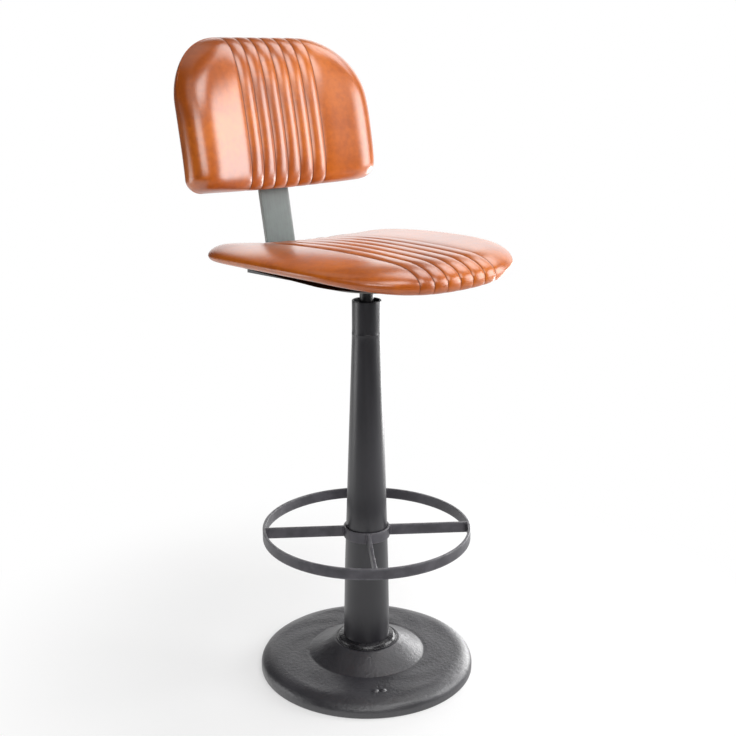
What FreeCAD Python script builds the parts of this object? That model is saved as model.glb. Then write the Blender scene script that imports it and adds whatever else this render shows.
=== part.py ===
import FreeCAD, Part
import os
import re
import Sketcher

from math import atan2, cos, radians, sin, sqrt

# A swivel stool: a heavy round cast base, a tapered column with a foot ring, a spindle turning in
# two bushes, a padded seat and a padded back on one bent flat bar.
# The frame: the floor is z = 0, the swivel axis is z, the front of the seat faces -y.

doc = FreeCAD.newDocument("swivel_stool")
sheet = doc.addObject("Spreadsheet::Sheet", "Params")

# Driving sizes, in millimetres and degrees.
SIZES = {
    # cast base and what holds it to the column
    "base_radius": 187.5,
    "rim_round": 20,
    "rim_flat": 1,
    "rim_foot_round": 4,
    "rim_wall": 25.5,
    "dome_radius": 102,
    "dome_top_radius": 57,
    "dome_rise": 24,
    "base_recess_depth": 11,
    "base_boss_radius": 52,
    "bolt_pocket_radius": 27,
    "bolt_pocket_depth": 21,
    "pad_inset": 5.5,
    "pad_thickness": 3,
    "tie_bolt_radius": 6,
    "tie_bolt_head_radius": 10,
    "tie_bolt_head_height": 7.5,
    "tie_washer_radius": 22,
    "tie_washer_thickness": 4,
    "hole_clearance": 0.4,
    "seat_fit": 0.05,
    # column
    "column_top": 665,
    "column_wall": 3,
    "foot_radius": 40.3,
    "low_radius": 39.4,
    "low_height": 115,
    "taper_radius": 37.8,
    "taper_height": 199,
    "neck_radius": 24.5,
    "neck_length": 56,
    "end_plate_thickness": 9,
    "end_plate_gap": 0.3,
    "flange_width": 13.7,
    "flange_height": 2.2,
    "flange_edge": 1,
    "bead_width": 9.5,
    "bead_height": 5,
    "bead_round": 9,
    # foot ring
    "ring_radius": 180,
    "ring_thickness": 5,
    "ring_bar_height": 19,
    "ring_top": 265.7,
    "collar_wall": 3.7,
    "spoke_thickness": 5,
    "spoke_turn": 34.8,
    "collar_screw_radius": 2.5,
    # swivel bearing
    "spindle_radius": 11.75,
    "running_gap": 0.05,
    "bearing_wall": 2.5,
    "bearing_length": 190,
    "bearing_sink": 6,
    "bearing_floor": 5,
    "bush_length": 28,
    "bush_sink": 2,
    "thrust_gap": 3.95,
    "thrust_thickness": 3,
    "ring_groove_lift": 6,
    "ring_groove_width": 1.6,
    "ring_groove_depth": 1,
    "retaining_stand": 3.2,
    "lower_bush_lift": 15,
    # seat plate and hub
    "spindle_show": 21.5,
    "plate_thickness": 5,
    "plate_rear_half": 121,
    "plate_front_half": 84,
    "plate_rear": 168,
    "plate_front": 80,
    "hub_radius": 30,
    "hub_height": 14,
    "hub_pin_radius": 2.5,
    "hub_pin_spare": 1,
    # bent flat bar that carries the back
    "bar_width": 62,
    "bar_thickness": 5,
    "bar_lead": 23,
    "bar_bend": 14,
    "upright_gap": 23.4,
    "upright_spare": 35.5,
    "recline": 12,
    "bar_bolt_radius": 4,
    "bar_bolt_head_radius": 7,
    "bar_bolt_head_height": 4.4,
    "bar_nut_radius": 7.5,
    "bar_nut_height": 6.5,
    "bar_bolt_edge": 19,
    "bar_bolt_step": 32,
    # seat board and its fixings
    "spacer_height": 6,
    "spacer_radius": 11,
    "dust_cover_thickness": 0.8,
    "dust_cover_margin": 8,
    "board_thickness": 9.5,
    "board_margin": 28,
    "board_slope": 34,
    "board_front_round": 118,
    "board_rear_round": 62,
    "seat_bolt_x": 62,
    "seat_bolt_front_edge": 28,
    "seat_bolt_rear_edge": 26,
    "screw_radius": 3,
    "screw_head_radius": 5.5,
    "screw_head_height": 3.6,
    "tee_barrel_radius": 4.5,
    "tee_flange_radius": 9,
    "tee_flange_thickness": 1.5,
    # seat cushion
    "seat_half_width": 195,
    "seat_front": 222,
    "seat_rear": 210,
    "seat_front_power": 3,
    "seat_rear_power": 8,
    "pad_clearance": 0.2,
    "seat_pad_rise": 36.6,
    "seat_crown_forward": 95,
    "seat_crown_fall": 18.5,
    "seat_front_nose": 57,
    "seat_rear_nose": 40,
    "seat_rim_lift": 17,
    "seat_tuck": 40,
    "seat_shoulder": 24,
    "seat_tip_panel": 8,
    "seat_panel_rise": 5,
    "seat_rib_pitch": 26,
    "rib_rise": 4.5,
    # back cushion
    "back_bottom": 120.5,
    "back_height": 259.5,
    "back_half_width": 193,
    "back_top_round": 107,
    "back_bottom_round": 36,
    "back_cover_thickness": 4,
    "back_cover_margin": 24,
    "back_board_thickness": 10,
    "back_board_margin": 34,
    "back_rim_lift": 29,
    "back_top_rim_lift": 8,
    "back_thickness": 57,
    "back_low_nose": 105,
    "back_tuck": 28,
    "back_shoulder": 34,
    "back_panel_rise": 4,
    "back_rib_pitch": 26.2,
    "back_bolt_x": 17,
    "back_bolt_low": 62,
    "back_bolt_step": 92,
}

# Sizes that follow from the driving ones.
DERIVED = {
    "base_bottom": "pad_thickness",
    "base_height": "base_bottom + rim_foot_round + rim_flat + rim_round",
    "base_recess_radius": "base_radius - rim_wall",
    "dome_top": "base_height + dome_rise",
    "neck_height": "column_top - neck_length",
    "flange_bore": "foot_radius + seat_fit",
    "flange_top": "dome_top + flange_height",
    "bearing_radius": "neck_radius - column_wall - seat_fit",
    "bearing_bore": "bearing_radius - bearing_wall",
    "bearing_top": "column_top - bearing_sink",
    "bearing_bottom": "bearing_top - bearing_length",
    "spindle_bottom": "bearing_bottom + thrust_thickness",
    "ring_bottom": "ring_top - ring_bar_height",
    "column_at_ring": "taper_radius - (taper_radius - neck_radius)"
                      " * (ring_bottom - taper_height) / (neck_height - taper_height)",
    "collar_bore": "column_at_ring + seat_fit",
    "collar_radius": "collar_bore + collar_wall",
    "hub_bottom": "column_top + spindle_show",
    "plate_bottom": "hub_bottom + hub_height",
    "plate_top": "plate_bottom + plate_thickness",
    "bar_bottom": "plate_bottom - bar_thickness",
    "bar_bolt_first": "plate_rear - bar_bolt_edge - 2 * bar_bolt_step",
    "bar_start": "bar_bolt_first - bar_lead",
    "seat_bolt_front": "plate_front - seat_bolt_front_edge",
    "seat_bolt_rear": "plate_rear - seat_bolt_rear_edge",
    "upright_reach": "seat_rear + upright_gap",
    "upright_length": "back_bottom + back_bolt_low + back_bolt_step + upright_spare",
    "lean_sin": "sin(recline * 1 deg)",
    "lean_cos": "cos(recline * 1 deg)",
    "bend_length": "bar_bend * tan((45 - recline / 2) * 1 deg)",
    "bend_corner": "upright_reach - plate_thickness * tan(recline * 1 deg)",
    "spacer_top": "plate_top + spacer_height",
    "board_bottom": "spacer_top + dust_cover_thickness",
    "board_top": "board_bottom + board_thickness",
    "seat_pad_bottom": "board_top + pad_clearance",
    "seat_crown_height": "board_top + seat_pad_rise",
}
WORD = re.compile(r"[A-Za-z_]+")


def in_sheet(text):
    """An expression with each size written as its cell in the sheet."""
    def cell(match):
        word = match.group(0)
        return "Params." + word if word in SIZES or word in DERIVED else word
    return WORD.sub(cell, text)


def fill_sheet():
    """Write each size's name and value, and alias the value's cell."""
    row = 0
    for name, number in SIZES.items():
        row += 1
        sheet.set(f"A{row}", name)
        sheet.set(f"B{row}", str(number))
        sheet.setAlias(f"B{row}", name)
    for name, formula in DERIVED.items():
        row += 1
        sheet.set(f"A{row}", name)
        sheet.set(f"B{row}", "=" + formula)
        sheet.setAlias(f"B{row}", name)
        doc.recompute()


def size(text):
    """The present value of an expression in the sheet's sizes."""
    return float(sheet.evalExpression(in_sheet(text)))


def bind(piece, **texts):
    for name, text in texts.items():
        piece.setExpression(name, in_sheet(text))


def place(piece, x="0", y="0", z="0", lean=False):
    """Bind a piece's place. In the leaning frame of the upright, y runs up it and z out of its front."""
    if lean:
        up, out = y, z
        y = f"upright_reach + ({up}) * lean_sin - ({out}) * lean_cos"
        z = f"plate_top + ({up}) * lean_cos + ({out}) * lean_sin"
        piece.Placement.Rotation = FreeCAD.Rotation(FreeCAD.Vector(1, 0, 0), 90)
        piece.setExpression("Placement.Rotation.Angle", in_sheet("90 - recline"))
    for axis, text in zip("xyz", (x, y, z)):
        piece.setExpression("Placement.Base." + axis, in_sheet(text))


def cylinder(name, radius, height, x="0", y="0", z="0", lean=False):
    piece = doc.addObject("Part::Cylinder", name)
    bind(piece, Radius=radius, Height=height)
    place(piece, x, y, z, lean)
    return piece


def hexagon(name, radius, height, x="0", y="0", z="0", lean=False):
    piece = doc.addObject("Part::Prism", name)
    bind(piece, Circumradius=radius, Height=height)
    place(piece, x, y, z, lean)
    return piece


def cut(name, base, *tools):
    for number, tool in enumerate(tools, 1):
        piece = doc.addObject("Part::Cut", name if number == len(tools) else f"{name}_cut_{number}")
        piece.Base = base
        piece.Tool = tool
        base = piece
    return base


def fuse(name, first, second):
    piece = doc.addObject("Part::Fuse", name)
    piece.Base = first
    piece.Tool = second
    return piece


def group(name, pieces):
    """Like fasteners kept as separate solids in one node."""
    piece = doc.addObject("Part::Compound", name)
    piece.Links = pieces
    return piece


def tube(name, outer, inner, height, z):
    solid = cylinder(name + "_outer", outer, height, z=z)
    bore = cylinder(name + "_bore", inner, height, z=z)
    return cut(name, solid, bore)


def new_sketch(body, name, role, lift="0"):
    sketch = body.newObject("Sketcher::SketchObject", name)
    plane = [item for item in body.Origin.OriginFeatures if item.Role == role][0]
    sketch.AttachmentSupport = [(plane, "")]
    sketch.MapMode = "FlatFace"
    if lift != "0":
        sketch.setExpression("AttachmentOffset.Base.z", in_sheet(lift))
    return sketch


def arc_through(start, end, radius, turn):
    """The short arc between two points, with its centre to the left of the way for turn = 1."""
    chord = end - start
    height = sqrt(max(radius * radius - chord.Length * chord.Length / 4, 0))
    left = FreeCAD.Vector(-chord.y, chord.x, 0).normalize()
    centre = (start + end) * 0.5 + left * (height * turn)
    middle = centre - left * (radius * turn)
    return Part.Arc(start, middle, end)


def outline(sketch, corners):
    """Draw a closed outline through corners (x, y). A corner (x, y, radius, turn) starts an arc."""
    places = [FreeCAD.Vector(size(corner[0]), size(corner[1]), 0) for corner in corners]
    ends = []
    for number, corner in enumerate(corners):
        start = places[number]
        end = places[(number + 1) % len(corners)]
        if len(corner) == 2:
            edge = sketch.addGeometry(Part.LineSegment(start, end), False)
            ends.append((edge, 1, 2))
            continue
        radius, turn = corner[2:]
        edge = sketch.addGeometry(arc_through(start, end, size(radius), turn), False)
        ends.append((edge, 1, 2) if turn > 0 else (edge, 2, 1))
        held = sketch.addConstraint(Sketcher.Constraint("Radius", edge, size(radius)))
        sketch.setExpression(f"Constraints[{held}]", in_sheet(radius))
    for number, (edge, _, last) in enumerate(ends):
        following, start, _ = ends[(number + 1) % len(ends)]
        sketch.addConstraint(Sketcher.Constraint("Coincident", edge, last, following, start))
    for corner, (edge, first, _) in zip(corners, ends):
        for kind, text in zip(("DistanceX", "DistanceY"), corner[:2]):
            held = sketch.addConstraint(Sketcher.Constraint(kind, -1, 1, edge, first, size(text)))
            sketch.setExpression(f"Constraints[{held}]", in_sheet(text))


def turned(name, corners):
    """A body of revolution about z from an outline of (radius, height) corners."""
    body = doc.addObject("PartDesign::Body", name)
    sketch = new_sketch(body, name + "_profile", "XZ_Plane")
    outline(sketch, corners)
    turn = body.newObject("PartDesign::Revolution", name + "_turn")
    turn.Profile = sketch
    turn.ReferenceAxis = (sketch, ["V_Axis"])
    turn.Angle = 360
    return body


def rounded_outline(half, low, high, low_round, high_round):
    """Corners of an upright rectangle about x = 0 whose two lower and two upper corners are rounded."""
    return [
        (f"-({half}) + ({low_round})", low),
        (f"({half}) - ({low_round})", low, low_round, 1),
        (half, f"({low}) + ({low_round})"),
        (half, f"({high}) - ({high_round})", high_round, 1),
        (f"({half}) - ({high_round})", high),
        (f"-({half}) + ({high_round})", high, high_round, 1),
        (f"-({half})", f"({high}) - ({high_round})"),
        (f"-({half})", f"({low}) + ({low_round})", low_round, 1),
    ]


def padded(body, sketch, thickness, name):
    pad = body.newObject("PartDesign::Pad", name)
    pad.Profile = sketch
    pad.setExpression("Length", in_sheet(thickness))
    return pad


def panel(name, corners, thickness, lift="0"):
    """A flat panel: an outline in the body's own x-y plane, padded upwards."""
    body = doc.addObject("PartDesign::Body", name)
    sketch = new_sketch(body, name + "_outline", "XY_Plane", lift)
    outline(sketch, corners)
    padded(body, sketch, thickness, name + "_pad")
    return body


fill_sheet()
nodes = {}

# The base: a domed iron casting, hollow below, with a boss for the tie bolt and a floor pad under it.
nodes["base_casting"] = turned("base_casting", [
    ("tie_bolt_radius + hole_clearance", "base_bottom + bolt_pocket_depth"),
    ("bolt_pocket_radius", "base_bottom + bolt_pocket_depth"),
    ("bolt_pocket_radius", "base_bottom"),
    ("base_boss_radius", "base_bottom"),
    ("base_boss_radius", "base_bottom + base_recess_depth"),
    ("base_recess_radius", "base_bottom + base_recess_depth"),
    ("base_recess_radius", "base_bottom"),
    ("base_radius - rim_foot_round", "base_bottom", "rim_foot_round", 1),
    ("base_radius", "base_bottom + rim_foot_round"),
    ("base_radius", "base_height - rim_round", "rim_round", 1),
    ("base_radius - rim_round", "base_height"),
    ("dome_radius", "base_height"),
    ("dome_top_radius", "dome_top"),
    ("tie_bolt_radius + hole_clearance", "dome_top"),
])
nodes["floor_pad"] = cylinder("floor_pad", "base_radius - pad_inset", "pad_thickness")

# The tie bolt pulls the column's end plate down onto the casting, from the pocket below.
bolt_seat = "base_bottom + bolt_pocket_depth - tie_washer_thickness"
nodes["tie_washer"] = tube("tie_washer", "tie_washer_radius", "tie_bolt_radius + hole_clearance",
                           "tie_washer_thickness", bolt_seat)
nodes["tie_bolt"] = fuse(
    "tie_bolt",
    hexagon("tie_bolt_head", "tie_bolt_head_radius", "tie_bolt_head_height",
            z=f"{bolt_seat} - tie_bolt_head_height"),
    cylinder("tie_bolt_shank", "tie_bolt_radius", f"dome_top + end_plate_thickness - ({bolt_seat})",
             z=bolt_seat))
nodes["column_end_plate"] = tube("column_end_plate", "foot_radius - column_wall - end_plate_gap",
                                 "tie_bolt_radius + seat_fit", "end_plate_thickness", "dome_top")

# The column: a tapered tube with a short straight neck, its mouth open around the spindle.
nodes["column"] = turned("column", [
    ("foot_radius - column_wall", "dome_top"),
    ("foot_radius", "dome_top"),
    ("low_radius", "low_height"),
    ("taper_radius", "taper_height"),
    ("neck_radius", "neck_height"),
    ("neck_radius", "column_top"),
    ("neck_radius - column_wall", "column_top"),
    ("neck_radius - column_wall", "neck_height"),
    ("taper_radius - column_wall", "taper_height"),
    ("low_radius - column_wall", "low_height"),
])

# The flange around the column's foot: a thin ring with a thick bead run around the column on it.
nodes["foot_flange"] = turned("foot_flange", [
    ("flange_bore", "dome_top"),
    ("flange_bore + flange_width", "dome_top"),
    ("flange_bore + flange_width", "flange_top - flange_edge", "flange_edge", 1),
    ("flange_bore + flange_width - flange_edge", "flange_top"),
    ("flange_bore + bead_width", "flange_top", "bead_round", 1),
    ("flange_bore", "flange_top + bead_height"),
])

# The foot ring: flat bar on edge, with four spokes to a band collar on the column.
nodes["foot_ring"] = tube("foot_ring", "ring_radius", "ring_radius - ring_thickness",
                          "ring_bar_height", "ring_bottom")
collar_band = tube("collar_band", "collar_radius", "collar_bore", "ring_bar_height", "ring_bottom")
SPOKES = ("foot_spoke_front", "foot_spoke_right", "foot_spoke_back", "foot_spoke_left")
for quarter, spoke in enumerate(SPOKES):
    bar = doc.addObject("Part::Box", spoke + "_bar")
    bind(bar, Length="ring_radius", Width="spoke_thickness", Height="ring_bar_height")
    turn = f"{90 * quarter - 90} - spoke_turn"
    bar.setExpression("Placement.Rotation.Angle", in_sheet(turn))
    place(bar, x=f"sin(({turn}) * 1 deg) * spoke_thickness / 2",
          y=f"-cos(({turn}) * 1 deg) * spoke_thickness / 2", z="ring_bottom")
    reach = doc.addObject("Part::Common", spoke)
    reach.Base = bar
    reach.Tool = tube(spoke + "_reach", "ring_radius - ring_thickness", "collar_radius",
                      "ring_bar_height", "ring_bottom")
    nodes[spoke] = reach

# Two grub screws, midway between spokes, grip the column through the collar.
GRUB_SIDES = (45, 135)
grubs = []
grub_holes = []
for side in GRUB_SIDES:
    turn = f"({side} - spoke_turn) * 1 deg"
    for kind, radius, start, pieces in (
            ("screw", "collar_screw_radius", "collar_bore", grubs),
            ("hole", "collar_screw_radius + seat_fit", "column_at_ring - column_wall", grub_holes)):
        rod = doc.addObject("Part::Cylinder", f"collar_{kind}_{side}")
        bind(rod, Radius=radius, Height=f"collar_radius - ({start})")
        rod.Placement.Rotation = FreeCAD.Rotation(FreeCAD.Vector(0, 1, 0), 90)
        rod.setExpression("Placement.Rotation.Axis.x", in_sheet(f"-sin({turn})"))
        rod.setExpression("Placement.Rotation.Axis.y", in_sheet(f"cos({turn})"))
        place(rod, x=f"cos({turn}) * ({start})", y=f"sin({turn}) * ({start})",
              z="ring_bottom + ring_bar_height / 2")
        pieces.append(rod)
nodes["foot_collar"] = cut("foot_collar", collar_band, *grub_holes)
nodes["collar_screws"] = group("collar_screws", grubs)

# The swivel bearing: a closed tube in the neck, two bushes, a thrust washer, the spindle and its ring.
nodes["bearing_tube"] = tube("bearing_tube", "bearing_radius", "bearing_bore", "bearing_length",
                             "bearing_bottom")
nodes["bearing_floor_plate"] = cylinder("bearing_floor_plate", "bearing_radius", "bearing_floor",
                                        z="bearing_bottom - bearing_floor")
nodes["thrust_washer"] = cylinder("thrust_washer", "bearing_bore - thrust_gap", "thrust_thickness",
                                  z="bearing_bottom")
for bush, low in (("upper_bush", "bearing_top - bush_sink - bush_length"),
                  ("lower_bush", "bearing_bottom + lower_bush_lift")):
    nodes[bush] = tube(bush, "bearing_bore - seat_fit", "spindle_radius + running_gap", "bush_length", low)
groove_low = "spindle_bottom + ring_groove_lift"
groove_radius = "spindle_radius - ring_groove_depth"
spindle_bar = turned("spindle_bar", [
    ("0", "spindle_bottom"),
    ("spindle_radius", "spindle_bottom"),
    ("spindle_radius", groove_low),
    (groove_radius, groove_low),
    (groove_radius, groove_low + " + ring_groove_width"),
    ("spindle_radius", groove_low + " + ring_groove_width"),
    ("spindle_radius", "plate_bottom"),
    ("0", "plate_bottom"),
])
nodes["retaining_ring"] = tube("retaining_ring", "spindle_radius + retaining_stand", groove_radius,
                               "ring_groove_width", groove_low)

# The hub under the seat plate takes the spindle's head, held by a cross pin.
pin_height = "hub_bottom + hub_height / 2"
pin_half = "hub_radius - hub_pin_spare"


def cross_rod(name, radius, half):
    rod = doc.addObject("Part::Cylinder", name)
    bind(rod, Radius=radius, Height=f"2 * ({half})")
    rod.Placement.Rotation = FreeCAD.Rotation(FreeCAD.Vector(0, 1, 0), 90)
    place(rod, x=f"-({half})", z=pin_height)
    return rod


nodes["hub_pin"] = cross_rod("hub_pin", "hub_pin_radius", pin_half)
nodes["spindle"] = cut("spindle", spindle_bar,
                       cross_rod("spindle_pin_hole", "hub_pin_radius + seat_fit", "hub_radius"))
hub_blank = tube("hub_blank", "hub_radius", "spindle_radius + seat_fit", "hub_height", "hub_bottom")
nodes["seat_hub"] = cut("seat_hub", hub_blank,
                        cross_rod("hub_pin_hole", "hub_pin_radius + seat_fit", "hub_radius"))

# The seat plate: tapered steel plate, drilled for the bar's bolts and the seat's screws.
plate_blank = panel("plate_blank", [
    ("-plate_rear_half", "plate_rear"),
    ("-plate_front_half", "-plate_front"),
    ("plate_front_half", "-plate_front"),
    ("plate_rear_half", "plate_rear"),
], "plate_thickness", "plate_bottom")
bar_bolt_places = [f"bar_bolt_first + {number} * bar_bolt_step" for number in range(3)]
seat_screw_places = [(x, y) for x in ("-seat_bolt_x", "seat_bolt_x")
                     for y in ("-seat_bolt_front", "seat_bolt_rear")]
plate_holes = [cylinder(f"plate_bar_hole_{number}", "bar_bolt_radius + hole_clearance", "plate_thickness",
                        y=y, z="plate_bottom") for number, y in enumerate(bar_bolt_places, 1)]
plate_holes += [cylinder(f"plate_screw_hole_{number}", "screw_radius + hole_clearance", "plate_thickness",
                         x, y, "plate_bottom") for number, (x, y) in enumerate(seat_screw_places, 1)]
nodes["seat_plate"] = cut("seat_plate", plate_blank, *plate_holes)

# The bent flat bar: one leg bolted under the plate, a bend, and the leaning upright behind the seat.
bar_body = doc.addObject("PartDesign::Body", "bar_body")
bar_sketch = new_sketch(bar_body, "bar_profile", "YZ_Plane")
outline(bar_sketch, [
    ("bar_start", "bar_bottom"),
    ("bend_corner - bend_length", "bar_bottom", "bar_bend + bar_thickness", 1),
    ("bend_corner + bend_length * lean_sin + bar_thickness * lean_cos",
     "plate_bottom + bend_length * lean_cos - bar_thickness * lean_sin"),
    ("upright_reach + upright_length * lean_sin + bar_thickness * lean_cos",
     "plate_top + upright_length * lean_cos - bar_thickness * lean_sin"),
    ("upright_reach + upright_length * lean_sin", "plate_top + upright_length * lean_cos"),
    ("bend_corner + bend_length * lean_sin", "plate_bottom + bend_length * lean_cos", "bar_bend", -1),
    ("bend_corner - bend_length", "plate_bottom"),
    ("bar_start", "plate_bottom"),
])
bar_pad = padded(bar_body, bar_sketch, "bar_width", "bar_pad")
bar_pad.Midplane = True
back_screw_places = [(x, f"back_bottom + back_bolt_low + {number} * back_bolt_step")
                     for x in ("-back_bolt_x", "back_bolt_x") for number in range(2)]
bar_holes = [cylinder(f"bar_bolt_hole_{number}", "bar_bolt_radius + hole_clearance", "bar_thickness",
                      y=y, z="bar_bottom") for number, y in enumerate(bar_bolt_places, 1)]
bar_holes += [cylinder(f"bar_screw_hole_{number}", "screw_radius + hole_clearance", "bar_thickness",
                       x, up, "-bar_thickness", lean=True)
              for number, (x, up) in enumerate(back_screw_places, 1)]
nodes["back_upright"] = cut("back_upright", bar_body, *bar_holes)

# Three bolts hold the bar's leg to the plate: low heads above the plate, nuts below the bar.
bolts = []
nuts = []
nut_low = "bar_bottom - bar_nut_height"
for number, y in enumerate(bar_bolt_places, 1):
    bolts.append(fuse(
        f"bar_bolt_{number}",
        cylinder(f"bar_bolt_head_{number}", "bar_bolt_head_radius", "bar_bolt_head_height",
                 y=y, z="plate_top"),
        cylinder(f"bar_bolt_shank_{number}", "bar_bolt_radius",
                 "plate_thickness + bar_thickness + bar_nut_height", y=y, z=nut_low)))
    nuts.append(cut(
        f"bar_nut_{number}",
        hexagon(f"bar_nut_blank_{number}", "bar_nut_radius", "bar_nut_height", y=y, z=nut_low),
        cylinder(f"bar_nut_bore_{number}", "bar_bolt_radius + seat_fit", "bar_nut_height",
                 y=y, z=nut_low)))
nodes["bar_bolts"] = group("bar_bolts", bolts)
nodes["bar_nuts"] = group("bar_nuts", nuts)


def screw_set(name, places, head_low, shank_length, tee_top, tee_depth, lean):
    """Screws with round heads and the tee nuts they pull on. A screw starts under its head."""
    tee_low = f"{tee_top} - ({tee_depth})"
    screws = []
    tees = []
    tee_solids = []
    for number, (x, y) in enumerate(places, 1):
        screws.append(fuse(
            f"{name}_screw_{number}",
            cylinder(f"{name}_head_{number}", "screw_head_radius", "screw_head_height", x, y, head_low, lean),
            cylinder(f"{name}_shank_{number}", "screw_radius", shank_length, x, y,
                     f"{head_low} + screw_head_height", lean)))
        tee = fuse(
            f"{name}_tee_solid_{number}",
            cylinder(f"{name}_barrel_{number}", "tee_barrel_radius", tee_depth, x, y, tee_low, lean),
            cylinder(f"{name}_flange_{number}", "tee_flange_radius", "tee_flange_thickness", x, y,
                     f"{tee_top} - tee_flange_thickness", lean))
        tee_solids.append(tee)
        tees.append(cut(f"{name}_tee_{number}", tee,
                        cylinder(f"{name}_tee_bore_{number}", "screw_radius + seat_fit", tee_depth, x, y,
                                 tee_low, lean)))
    return screws, tees, tee_solids


# Spacers, the dust cover and the sloping-edged seat board, with its screws and tee nuts.
seat_screws, seat_tees, seat_tee_solids = screw_set(
    "seat", seat_screw_places, "plate_bottom - screw_head_height",
    "board_top - plate_bottom", "board_top", "board_thickness", False)
nodes["seat_screws"] = group("seat_screws", seat_screws)
nodes["seat_tee_nuts"] = group("seat_tee_nuts", seat_tees)
spacers = []
cover_holes = []
for number, (x, y) in enumerate(seat_screw_places, 1):
    spacers.append(cut(
        f"seat_spacer_{number}",
        cylinder(f"spacer_blank_{number}", "spacer_radius", "spacer_height", x, y, "plate_top"),
        cylinder(f"spacer_bore_{number}", "screw_radius + hole_clearance", "spacer_height",
                 x, y, "plate_top")))
    cover_holes.append(cylinder(f"cover_hole_{number}", "screw_radius + hole_clearance",
                                "dust_cover_thickness", x, y, "spacer_top"))
nodes["seat_spacers"] = group("seat_spacers", spacers)


def board_outline(margin):
    return rounded_outline(f"seat_half_width - ({margin})", f"-(seat_front - ({margin}))",
                           f"seat_rear - ({margin})", f"board_front_round - ({margin}) + board_margin",
                           f"board_rear_round - ({margin}) + board_margin")


nodes["dust_cover"] = cut(
    "dust_cover",
    panel("cover_sheet", board_outline("board_margin + board_slope + dust_cover_margin"),
          "dust_cover_thickness", "spacer_top"),
    *cover_holes)
board_body = doc.addObject("PartDesign::Body", "board_body")
board_low = new_sketch(board_body, "board_low", "XY_Plane", "board_bottom")
outline(board_low, board_outline("board_margin + board_slope"))
board_high = new_sketch(board_body, "board_high", "XY_Plane", "board_top")
outline(board_high, board_outline("board_margin"))
board_loft = board_body.newObject("PartDesign::AdditiveLoft", "board_loft")
board_loft.Profile = board_low
board_loft.Sections = [board_high]
board_loft.Ruled = True
nodes["seat_board"] = cut("seat_board", board_body, *seat_tee_solids)


RIBS = 6
EDGE_DROP_SHARE = 0.3
NOSE_RIB_SHARE = 0.6
NOSE_RIM_SHARE = 0.4
ROUND_SHARE = 1 - sqrt(0.5)


def ribbed_section(y, half, low, rim, top, tuck, shoulder, panel_rise, pitch, rise):
    """One section across a ribbed pad: flat below, drawn-in sides, a plain panel each side, six ribs.
    The tuck's arc leaves the flat bottom level, and the panels' outer edges lie lower than the ribs."""
    band = RIBS / 2 * pitch
    shoulder = min(shoulder, (half - band) / 2)
    edge_drop = (top - rim) * EDGE_DROP_SHARE
    edge = top - edge_drop
    sweep = atan2(rim - low, tuck)
    tuck_round = tuck / sin(2 * sweep)

    def point(x, z):
        return FreeCAD.Vector(x, y, z)

    def mirrored(spot):
        return FreeCAD.Vector(-spot.x, spot.y, spot.z)

    left = [
        (point(tuck - half, low),
         point(tuck - half - tuck_round * sin(sweep), low + tuck_round * (1 - cos(sweep)))),
        (point(-half, rim), point(ROUND_SHARE * shoulder - half, edge - ROUND_SHARE * (edge - rim))),
        (point(shoulder - half, edge), point((shoulder - half - band) / 2, top - edge_drop / 2 + panel_rise)),
    ]
    ribs = [(point(number * pitch - band, top), point((number + 0.5) * pitch - band, top + rise))
            for number in range(RIBS)]
    starts = [start for start, _ in left + ribs]
    middles = [middle for _, middle in left + ribs]
    starts.append(mirrored(ribs[0][0]))
    starts += [mirrored(start) for start, _ in reversed(left)]
    middles += [mirrored(middle) for _, middle in reversed(left)]
    edges = [Part.Arc(start, middle, end).toShape()
             for start, middle, end in zip(starts, middles, starts[1:])]
    edges.append(Part.makeLine(starts[-1], starts[0]))
    return Part.Wire(edges)


def ribbed_pad(name, sections):
    piece = doc.addObject("Part::Feature", name)
    piece.Shape = Part.makeLoft(sections, True, True)
    return piece


# The seat cushion: crowned, falling to the rear, its front rolled over, six ribs between plain sides.
def seat_section(forward, roll):
    """Section at a distance in front of the axis. Roll is 0 on the flat and 1 at the tip of a nose."""
    reach, power = ("seat_front", "seat_front_power") if forward > 0 else ("seat_rear", "seat_rear_power")
    power = size(power)
    half = size("seat_half_width") * (1 - (abs(forward) / size(reach)) ** power) ** (1 / power)
    half = max(half, size(f"{RIBS} / 2 * seat_rib_pitch + seat_tip_panel"))
    span = size("seat_rear + seat_crown_forward")
    crown = size("seat_crown_height")
    crown -= size("seat_crown_fall") * ((forward - size("seat_crown_forward")) / span) ** 2
    low = size("seat_pad_bottom")
    rim = low + size("seat_rim_lift") * (1 - NOSE_RIM_SHARE * roll)
    top = crown - (crown - rim - size("rib_rise")) * roll
    return ribbed_section(-forward, half, low, rim, top, size("seat_tuck"), size("seat_shoulder"),
                          size("seat_panel_rise") * (1 - roll), size("seat_rib_pitch"),
                          size("rib_rise") * (1 - NOSE_RIB_SHARE * roll))


SEAT_REAR_ROLLS = (74, 60, 42, 20, 0)
SEAT_FLAT_SHARES = (0.2, 0.4, 0.55, 0.7, 0.85)
SEAT_FRONT_ROLLS = (0, 20, 36, 50, 60, 68)
flat_rear = size("seat_rear_nose - seat_rear")
flat_front = size("seat_front - seat_front_nose")
seat_stations = []
for angle in SEAT_REAR_ROLLS:
    turn = radians(angle)
    seat_stations.append((flat_rear - size("seat_rear_nose") * sin(turn), 1 - cos(turn)))
for share in SEAT_FLAT_SHARES:
    seat_stations.append((flat_rear + share * (flat_front - flat_rear), 0))
for angle in SEAT_FRONT_ROLLS:
    turn = radians(angle)
    seat_stations.append((flat_front + size("seat_front_nose") * sin(turn), 1 - cos(turn)))
nodes["seat_cushion"] = ribbed_pad("seat_cushion", [seat_section(*station) for station in seat_stations])

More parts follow.
